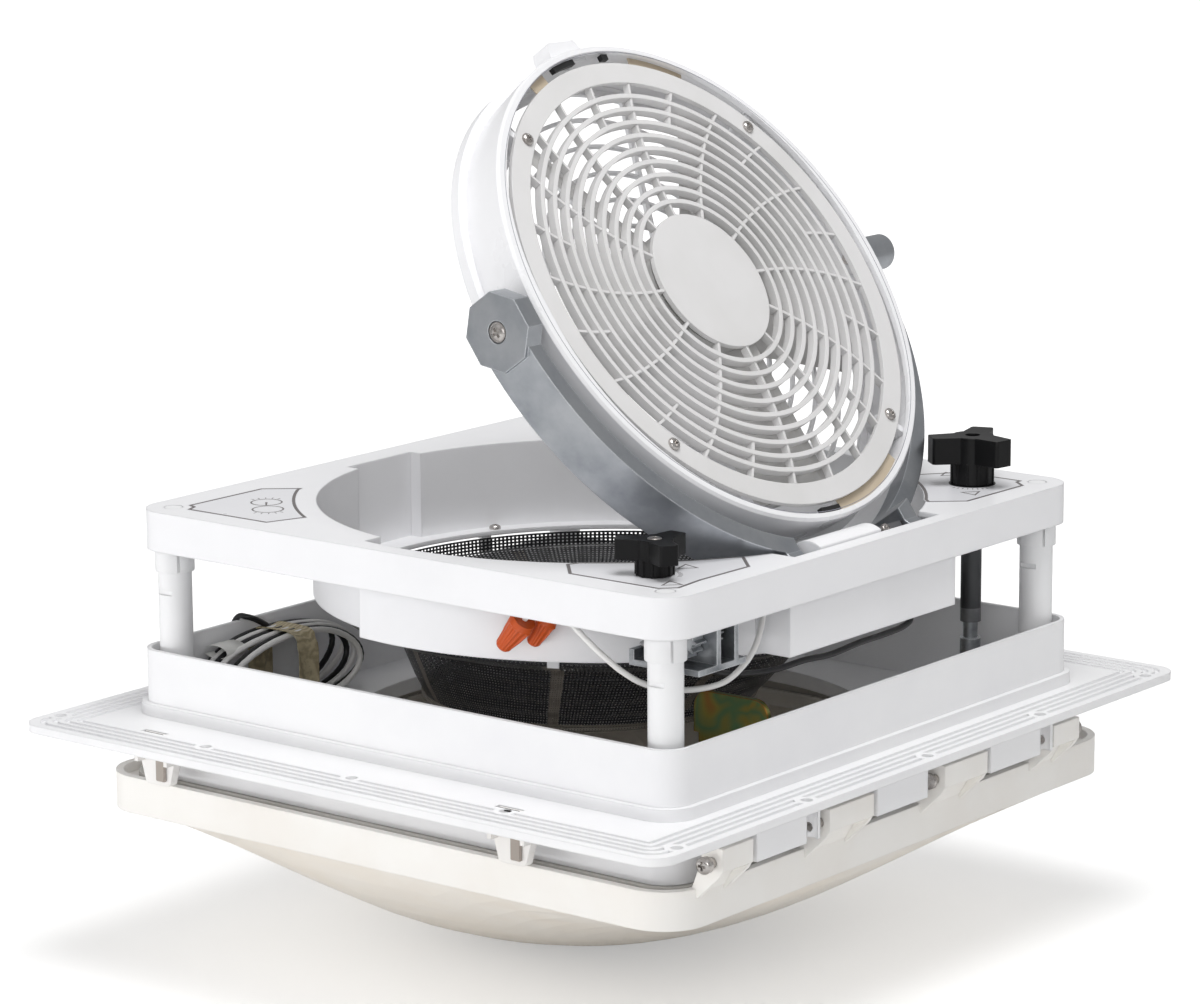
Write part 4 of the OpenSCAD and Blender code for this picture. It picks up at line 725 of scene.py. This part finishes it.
# Painted highlight: the pale colour of the seam and hem wires.
seam_glint_wire = woven("seam_glint_wire", "7d766e", 1.0, 0.66, 0.5)
hem_glint_wire = woven("hem_glint_wire", "8a847b", 0.7, 0.66, 0.45)
screen = cloth_sheet("screen_cloth", 0, 360, 0.0, 1.0, 240, 60, 0.0, screen_wire, bottom_disc=True)
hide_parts("bug_screen")
for k, (turn_deg, wide) in enumerate(seams):
    cloth_sheet("screen_seam_%d" % k, turn_deg - wide / 2, turn_deg + wide / 2, *seam_span, 4, 40,
                seam_lift, seam_glint_wire)
cloth_sheet("screen_hem", 0, 360, *hem_span, 240, 10, hem_lift, hem_glint_wire, roll=hem_roll)
strap_white = moulding("strap_white", "eeeeef", "e6e6e8", 0.4)
dress(strap_white, "screen_straps")

# Fan and lid gear housings with their worms, shafts and bushes: die-cast
# zinc alloy, grey and slightly mottled, with a painted highlight on its edges.
zinc = plating("zinc_casting", "b9bcbf", "85898d", 0.4, 70.0, edge=0.0008, rim="e2e4e6")
dress(zinc, "fan_gearbox", "lid_gearbox", "fan_worm", "lid_worm", "lay_shaft", "hinge_shaft",
      "pivot_bushes")

# Lift bracket: bent steel plate with iridescent yellow chromate, worn to
# copper at its rim, and held by brass screws.
chromate_bands = ((0.30, "b8a04c"), (0.42, "a0a060"), (0.50, "7c9a6c"), (0.58, "b0a258"), (0.68, "c08a50"))
material, out, add, link = new_material("chromate")
where = add("TexCoord")
wave = add("TexNoise", Scale=34.0, Detail=2.5, Roughness=0.5, Distortion=0.8)
bands = add("ValToRGB")
ramp = bands.color_ramp
for at, code in chromate_bands:
    band = ramp.elements.new(at)
    band.color = linear(code)
ramp.elements.remove(ramp.elements[0])
ramp.elements.remove(ramp.elements[-1])
soft = add("Bevel", Radius=0.0012)
rim_mask = add("Group", edge_highlight_and_wear, Worn_Below=0.9, Sound_Above=0.99)
mix = add("Mix", "RGBA", B=linear("b5763a"))
shader = add("BsdfPrincipled", Metallic=1.0, Roughness=0.3)
link(where.outputs["Object"], wave.inputs["Vector"])
link(wave.outputs["Fac"], bands.inputs[0])
link(soft.outputs[0], rim_mask.inputs["Softened Normal"])
link(rim_mask.outputs["Rim Mask"], mix.inputs["Factor"])
link(bands.outputs[0], mix.inputs["A"])
link(mix.outputs["Result"], shader.inputs["Base Color"])
link(soft.outputs[0], shader.inputs["Normal"])
link(shader.outputs[0], out.inputs[0])
dress(material, "lift_bracket")
brass = plating("brass_screws", "c2a15a", "94793f", 0.3, 150.0)
dress(brass, "bracket_screws")

# Wire coil: a black and a white wire wound in loose loops by hand, with a
# black tail over the neck's rim. The loops vary by a seeded random amount.
wire_r, coil_clear = 0.0016, 0.0003
coil_pitch, coil_turns, turn_steps = 0.0088, 3, 36
coil_inset, coil_sway, sway_rate = 0.0009, 0.004, 2.2
tape_low, tape_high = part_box("coil_tape")
coil_low, coil_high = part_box("black_coil")
coil_mid = (coil_low + coil_high) / 2
half_y = (coil_high.y - coil_low.y) / 2 - wire_r
half_z = (tape_high.z - tape_low.z) / 2 - wire_r - coil_inset
tail_route = ((-0.1655, -0.078, 0.024), (-0.1662, -0.085, 0.030), (-0.1680, -0.092, 0.0345),
              (-0.1705, -0.096, 0.0362), (-0.1745, -0.097, 0.0362), (-0.1772, -0.098, 0.033),
              (-0.1778, -0.099, 0.028))
lead_black = moulding("lead_black", "1d1d1f", "151517", 0.32, edge=0)
lead_white = moulding("lead_white", "efeeec", "e6e4e0", 0.36, edge=0)


def smooth_line(points):
    """Curve through every point, in short straight steps."""
    parts = 8
    p = [Vector(q) for q in points]
    p = [p[0] * 2 - p[1]] + p + [p[-1] * 2 - p[-2]]
    line = []
    for i in range(1, len(p) - 2):
        for k in range(parts):
            t = k / parts
            line.append(0.5 * ((2 * p[i]) + (p[i + 1] - p[i - 1]) * t
                               + (2 * p[i - 1] - 5 * p[i] + 4 * p[i + 1] - p[i + 2]) * t * t
                               + (3 * p[i] - p[i - 1] - 3 * p[i + 1] + p[i + 2]) * t ** 3))
    return line + [p[-2]]


def tube(name, line, radius, material):
    """Round wire along a line of points, with closed rounded ends."""
    sides = 12
    line = [Vector(q) for q in line]
    points = []
    side = None
    for i, here in enumerate(line):
        ahead = (line[min(i + 1, len(line) - 1)] - line[max(i - 1, 0)]).normalized()
        if side is None:
            side = ahead.orthogonal().normalized()
        side = (side - ahead * side.dot(ahead)).normalized()
        up = ahead.cross(side)
        rings = [(here, 1.0)]
        if i == 0:
            rings = [(here - ahead * radius * 0.5, 0.6), (here, 1.0)]
        elif i == len(line) - 1:
            rings = [(here, 1.0), (here + ahead * radius * 0.5, 0.6)]
        for middle, share in rings:
            for k in range(sides):
                a = math.tau * k / sides
                points.append(middle + (side * math.cos(a) + up * math.sin(a)) * radius * share)
    return solid(name, points, ring_faces(len(points) // sides, sides), material, "base", sharp=60)


def coil_line(start_x, seed):
    """Loose turns; each differs a little in length, place and bow."""
    dice = random.Random(seed)
    longer = [dice.uniform(-0.005, 0.003) for _ in range(coil_turns + 2)]
    moved = [dice.uniform(-0.004, 0.004) for _ in range(coil_turns + 2)]
    bowed = [dice.uniform(-0.0010, 0.0010) for _ in range(coil_turns + 2)]
    line = []
    for i in range(coil_turns * turn_steps + 1):
        a = i / turn_steps
        j, t = int(a), a - int(a)
        t = t * t * (3 - 2 * t)
        c, s = math.cos(a * math.tau), math.sin(a * math.tau)
        grow = longer[j] * (1 - t) + longer[j + 1] * t
        slide = (moved[j] * (1 - t) + moved[j + 1] * t) * abs(c)
        bow = (bowed[j] * (1 - t) + bowed[j + 1] * t) * abs(c)
        line.append((start_x + coil_pitch * a + bow, coil_mid.y + slide - (half_y + grow) * c,
                     coil_mid.z + half_z * s + coil_sway * c ** 2 * math.sin(a * sway_rate)))
    return line


first_x = coil_low.x + wire_r + coil_clear
black = tube("black_coil_wire", coil_line(first_x, 11), wire_r, lead_black)
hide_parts("black_coil")
white = tube("white_coil_wire", coil_line(first_x + coil_pitch / 2, 23), wire_r, lead_white)
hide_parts("white_coil")
tube("coil_tail", smooth_line(tail_route), wire_r, lead_black)

# Masking tape round the coil, and a paper tag on a wire: crinkled cream paper
# with a slight shine, pressed on by hand, so it is pinched and folded. The
# tape's creases are painted darker as shade.
tape_thick, tape_corner = 0.0004, 0.42
waist, slant_deep, slant_turn = 0.045, 0.0022, 0.8
around, across = 72, 14
tag_r, tag_drop, tag_y, tag_thick, tag_steps = (0.0085, 0.0036), 0.006, (-0.113, -0.1285), 0.0002, 12
material, out, add, link = new_material("masking_tape")
where = add("TexCoord")
fine = add("TexNoise", Scale=2200.0, Detail=2.0)
crease = add("TexWave", Scale=130.0, Distortion=9.0, Detail=3.0)
mixed = add("Math", "MULTIPLY_ADD")
mixed.inputs[1].default_value = 0.35
# Painted shade: the crease wave that bumps the tape also darkens its colour.
tone = add("Mix", "RGBA", A=linear("d0c3a2"), B=linear("ab9e7e"))
bump = add("Bump", Strength=0.7, Distance=0.0004)
shader = add("BsdfPrincipled", Roughness=0.62)
link(where.outputs["Object"], fine.inputs["Vector"])
link(where.outputs["Object"], crease.inputs["Vector"])
link(fine.outputs["Fac"], mixed.inputs[0])
link(crease.outputs["Fac"], mixed.inputs[2])
link(crease.outputs["Fac"], tone.inputs["Factor"])
link(mixed.outputs[0], bump.inputs["Height"])
link(tone.outputs["Result"], shader.inputs["Base Color"])
link(bump.outputs[0], shader.inputs["Normal"])
link(shader.outputs[0], out.inputs[0])
dice = random.Random(5)
folds = [(dice.uniform(2, 9), dice.uniform(0, 6), dice.uniform(0.0001, 0.0004)) for _ in range(7)]
mid = (tape_low + tape_high) / 2
half = (tape_high - tape_low) / 2
points, faces = [], []
for layer in (0.0, tape_thick):
    for j in range(across + 1):
        v = j / across
        for k in range(around):
            a = math.tau * k / around
            c, s = math.cos(a), math.sin(a)
            x = math.copysign(abs(c) ** tape_corner, c) * (half.x - layer)
            z = math.copysign(abs(s) ** tape_corner, s) * (half.z - layer)
            dent = sum(h * math.sin(n * a + p + v * 5) for n, p, h in folds)
            pinch = 1 - waist * math.sin(v * math.pi) - max(dent, 0) / half.z
            slant = slant_deep * math.sin(a + slant_turn)
            y = tape_low.y + (tape_high.y - tape_low.y) * v + slant * (0.5 - v)
            points.append((mid.x + x * pinch, y, mid.z + z * pinch))
per = (across + 1) * around
for layer, j, k in itertools.product(range(2), range(across), range(around)):
    n = (k + 1) % around
    first = layer * per + j * around
    faces.append((first + k, first + n, first + around + n, first + around + k))
for row, k in itertools.product((0, across * around), range(around)):
    n = (k + 1) % around
    faces.append((row + k, row + n, per + row + n, per + row + k))
tape = solid("masking_tape", points, faces, material, "base", sharp=50)
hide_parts("coil_tape")
tag_paper = moulding("tag_paper", "e6e6e2", "d6d6d0", 0.5, edge=0, grain_scale=400.0)
points = []
for i in range(tag_steps + 1):
    a = math.radians(300 * i / tag_steps - 150)
    points += [(coil_low.x + tag_r[0] + tag_r[0] * math.cos(a), y,
                coil_high.z - tag_drop + tag_r[1] * math.sin(a)) for y in tag_y]
faces = [(2 * i, 2 * i + 1, 2 * i + 3, 2 * i + 2) for i in range(tag_steps)]
tag = solid("wire_tag", points, faces, tag_paper, "base")
thick = tag.modifiers.new("paper", "SOLIDIFY")
thick.thickness = tag_thick

# Fan wiring: a white and a black lead from the fan to the gear housing, a
# short stub, and two wire nuts that join them. The nuts are orange mouldings,
# ribbed cones with two wings over a plain skirt.
white_route = ((0.078, -0.165, 0.0835), (0.082, -0.165, 0.088), (0.088, -0.1655, 0.091),
               (0.097, -0.166, 0.0915), (0.107, -0.167, 0.088), (0.114, -0.168, 0.083),
               (0.124, -0.164, 0.073), (0.132, -0.156, 0.063), (0.139, -0.146, 0.056),
               (0.149, -0.130, 0.052), (0.157, -0.112, 0.053), (0.161, -0.100, 0.060),
               (0.161, -0.090, 0.068), (0.159, -0.082, 0.078), (0.158, -0.079, 0.086),
               (0.158, -0.0765, 0.090), (0.158, -0.074, 0.090))
black_route = ((0.148, -0.112, 0.0641), (0.148, -0.112, 0.061), (0.149, -0.108, 0.057),
               (0.151, -0.098, 0.054), (0.154, -0.084, 0.052), (0.158, -0.068, 0.0515),
               (0.161, -0.050, 0.0528), (0.163, -0.030, 0.0522), (0.164, -0.008, 0.0538),
               (0.164, 0.014, 0.0540), (0.164, 0.028, 0.0545), (0.164, 0.036, 0.056),
               (0.164, 0.038, 0.058), (0.164, 0.038, 0.060))
stub_route = ((0.084, -0.154, 0.084), (0.087, -0.154, 0.0885), (0.091, -0.154, 0.094),
              (0.094, -0.154, 0.099), (0.0945, -0.154, 0.103), (0.0945, -0.154, 0.1048))
nut_steps, nut_gap, rib_share, wing_share = 72, 0.0003, 0.11, 0.16
nut_profile = ((0.0, 0.80), (0.0, 1.0), (0.16, 1.07), (0.22, 1.0), (0.24, 0.97), (0.55, 0.84),
               (0.86, 0.72), (0.92, 0.70), (0.97, 0.60), (1.0, 0.42))
nut_orange = moulding("nut_orange", "ca5212", "b4460c", 0.36, edge=0.0003)


def wire_nut(name, place, lean_deg, base_r, length):
    """Ribbed cone with a plain skirt; its open end is on z = 0."""
    points = []
    for h, r in nut_profile:
        for k in range(nut_steps):
            a = math.tau * k / nut_steps
            rib = 1.0 if h < 0.2 or h > 0.9 else 1 - rib_share * (math.cos(12 * a) < -0.1)
            wing = 1 + wing_share * max(0, math.cos(2 * a)) ** 6 * (0.02 < h < 0.6)
            points.append((base_r * r * rib * wing * math.cos(a), base_r * r * rib * wing * math.sin(a),
                           nut_gap + h * length))
    return solid(name, points, ring_faces(len(nut_profile), nut_steps), nut_orange, "base",
                 Matrix.Translation(place) @ turned(lean_deg, "Y"), sharp=30)


nut = wire_nut("wire_nut_long", white_route[0], 222, 0.0060, 0.0212)
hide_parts("wire_nuts")
wire_nut("wire_nut_short", stub_route[0], 214, 0.0052, 0.0182)
lead = tube("white_lead_wire", smooth_line(white_route), 0.0015, lead_white)
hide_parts("white_lead")
lead = tube("black_lead_wire", smooth_line(black_route), 0.0016, lead_black)
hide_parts("black_lead")
tube("stub_wire", smooth_line(stub_route), 0.0015, lead_black)

# Knobs: black three-lobed handles with a fine satin grain and ribbed stems.
# The lid knob drives a telescopic shaft: dark upper tube, paler lower one.
knob_head, knob_head_z, lower_tube_top = (0.0036, 0.0011), 0.12545, (0.0412, 0.0416)
knob_black = moulding("knob_black", "0b0b0c", "060607", 0.42, edge=0.0009, grain_scale=1400.0,
                      grain_depth=0.00006, shine=0.25)
dress(knob_black, "fan_knob", "lid_knob", "lift_roller")
cross_screw("fan_knob_screw_head", knob_head, Matrix.Translation((*fan_knob_at, knob_head_z)), "fan_knob")
material = plating("shaft_grey", "7e7f81", "6e6f71", 0.34, 90.0, metallic=0.55)
add, link = node_tools(material.node_tree)
shader = next(n for n in material.node_tree.nodes if n.type == "BSDF_PRINCIPLED")
lower_colour = shader.inputs["Base Color"].links[0].from_socket
where = add("TexCoord")
split = add("SeparateXYZ")
upper = add("MapRange", From_Min=lower_tube_top[0], From_Max=lower_tube_top[1])
tint = add("Mix", "RGBA", B=linear("48494b"))
link(where.outputs["Object"], split.inputs[0])
link(split.outputs["Z"], upper.inputs["Value"])
link(upper.outputs[0], tint.inputs["Factor"])
link(lower_colour, tint.inputs["A"])
link(tint.outputs["Result"], shader.inputs["Base Color"])
dress(material, "tele_shaft")

# Lid: off-white frame moulding, a warm cream dome welded into it, and a
# light grey foam gasket that meets the neck.
lid_cream = moulding("lid_cream", "f6f4f0", "f1ede7", 0.4, edge=0.0009)
dress(lid_cream, "lid_frame")
dome_cream = moulding("dome_cream", "fcf7ef", "f8f0e4", 0.36, edge=0.0006)
dress(dome_cream, "lid_dome")
gasket_grey = moulding("gasket_grey", "cbc8c3", "bfbcb6", 0.8, edge=0)
dress(gasket_grey, "lid_gasket")

# Yoke: cast aluminium arm, mottled by handling, with a painted highlight on its
# edges, and a grey foot plate over its hinge between two black strips that are
# painted shadow in the gaps at its sides.
gap_shade_x, gap_shade_z, gap_shade_edge = (0.1486, 0.1625), (0.0061, 0.0098), 0.0003
gap_shade_y, gap_shade_wide = (0.0118, 0.0436), 0.0011
# Painted highlight: the pale rim colour along the yoke's edges.
yoke_cast = plating("yoke_cast", "b4b7bb", "9b9fa5", 0.33, 30.0, depth=0.00005, edge=0.0009,
                    rim="d9dce0")
dress(yoke_cast, "yoke")
foot_grey = plating("foot_grey", "8d8d90", "7f7f83", 0.42, 50.0, edge=0.0007)
dress(foot_grey, "foot_plate")
# Black: rubber for the fan head's stops, painted gap shadow for the strips beside the foot plate.
rubber_and_gap_shade = moulding("rubber_and_gap_shade_strip", "1c1c1d", "141415", 0.55, edge=0.0004)
for k, y in enumerate(gap_shade_y):
    block("foot_gap_shade_%d" % k, (gap_shade_x[0], y, gap_shade_z[0]), (gap_shade_x[1], y + gap_shade_wide, gap_shade_z[1]),
          gap_shade_edge, rubber_and_gap_shade, "yoke", fan_turn)

# Fan head: white casing with a seam round its bezel, grey grille, pearly
# blades, dark motor, and sealing strip with rubber stops, both glued into
# the two crescent gaps between bezel and grille.
strip_arcs = ((3.5, 31), (150, 166), (197, 203))
stop_arcs = ((-1.5, 6.5), (190.0, 8.0), (175.0, 2.0))
# Each section: inner and outer radius, then the lower and the upper height.
seam_section, strip_section = (0.1341, 0.13445, 0.01165, 0.01174), (0.1268, 0.1352, 0.0062, 0.0068)
stop_section = (0.1312, 0.1342, 0.0069, 0.0098)
casing_white = moulding("casing_white", "f0f0f2", "ebebed", 0.3, edge=0.0007)
dress(casing_white, "fan_casing", "fan_rear_cover")
grille_grey = moulding("grille_grey", "dddcdc", "d5d4d3", 0.36, edge=0.0006)
dress(grille_grey, "front_grille")
motor_dark = moulding("motor_dark", "35373a", "2a2c2e", 0.4)
dress(motor_dark, "fan_motor")


def ring_part(name, section, start, stop, steps, material):
    """Arc-shaped strip in the fan head's own frame."""
    r_in, r_out, low_z, high_z = section
    points, faces = [], []
    for k in range(steps + 1):
        a = math.radians(start + (stop - start) * k / steps)
        for r, z in ((r_in, low_z), (r_out, low_z), (r_out, high_z), (r_in, high_z)):
            points.append((r * math.cos(a), r * math.sin(a), z))
    for k in range(steps):
        for j in range(4):
            n = (j + 1) % 4
            faces.append((4 * k + j, 4 * k + n, 4 * k + 4 + n, 4 * k + 4 + j))
    if stop - start < 360:
        faces += [(3, 2, 1, 0), tuple(4 * steps + j for j in range(4))]
    solid(name, points, faces, material, "fan_head", fan_turn)


seam_grey = moulding("seam_grey", "8f8f98", "85858e", 0.6, edge=0)
strip_beige = moulding("strip_beige", "cdbfa9", "bfb09a", 0.7, edge=0, grain_scale=300.0,
                       grain_depth=0.0002)
ring_part("bezel_seam", seam_section, 0, 360, 220, seam_grey)
for k, (start, stop) in enumerate(strip_arcs):
    ring_part("seal_strip_%d" % k, strip_section, start, stop, 30, strip_beige)
for k, (middle, wide) in enumerate(stop_arcs):
    ring_part("rubber_stop_%d" % k, stop_section, middle - wide / 2, middle + wide / 2, 8, rubber_and_gap_shade)

material, out, add, link = new_material("blade_pearl")
where = add("TexCoord")
cloudy = add("TexNoise", Scale=28.0, Detail=3.0)
tone = add("Mix", "RGBA", A=linear("ecebe9"), B=linear("c4c3c2"))
shader = add("BsdfPrincipled", Roughness=0.2, IOR=1.45, Transmission_Weight=0.2)
link(where.outputs["Object"], cloudy.inputs["Vector"])
link(cloudy.outputs["Fac"], tone.inputs["Factor"])
link(tone.outputs["Result"], shader.inputs["Base Color"])
link(shader.outputs[0], out.inputs[0])
dress(material, "fan_blades")
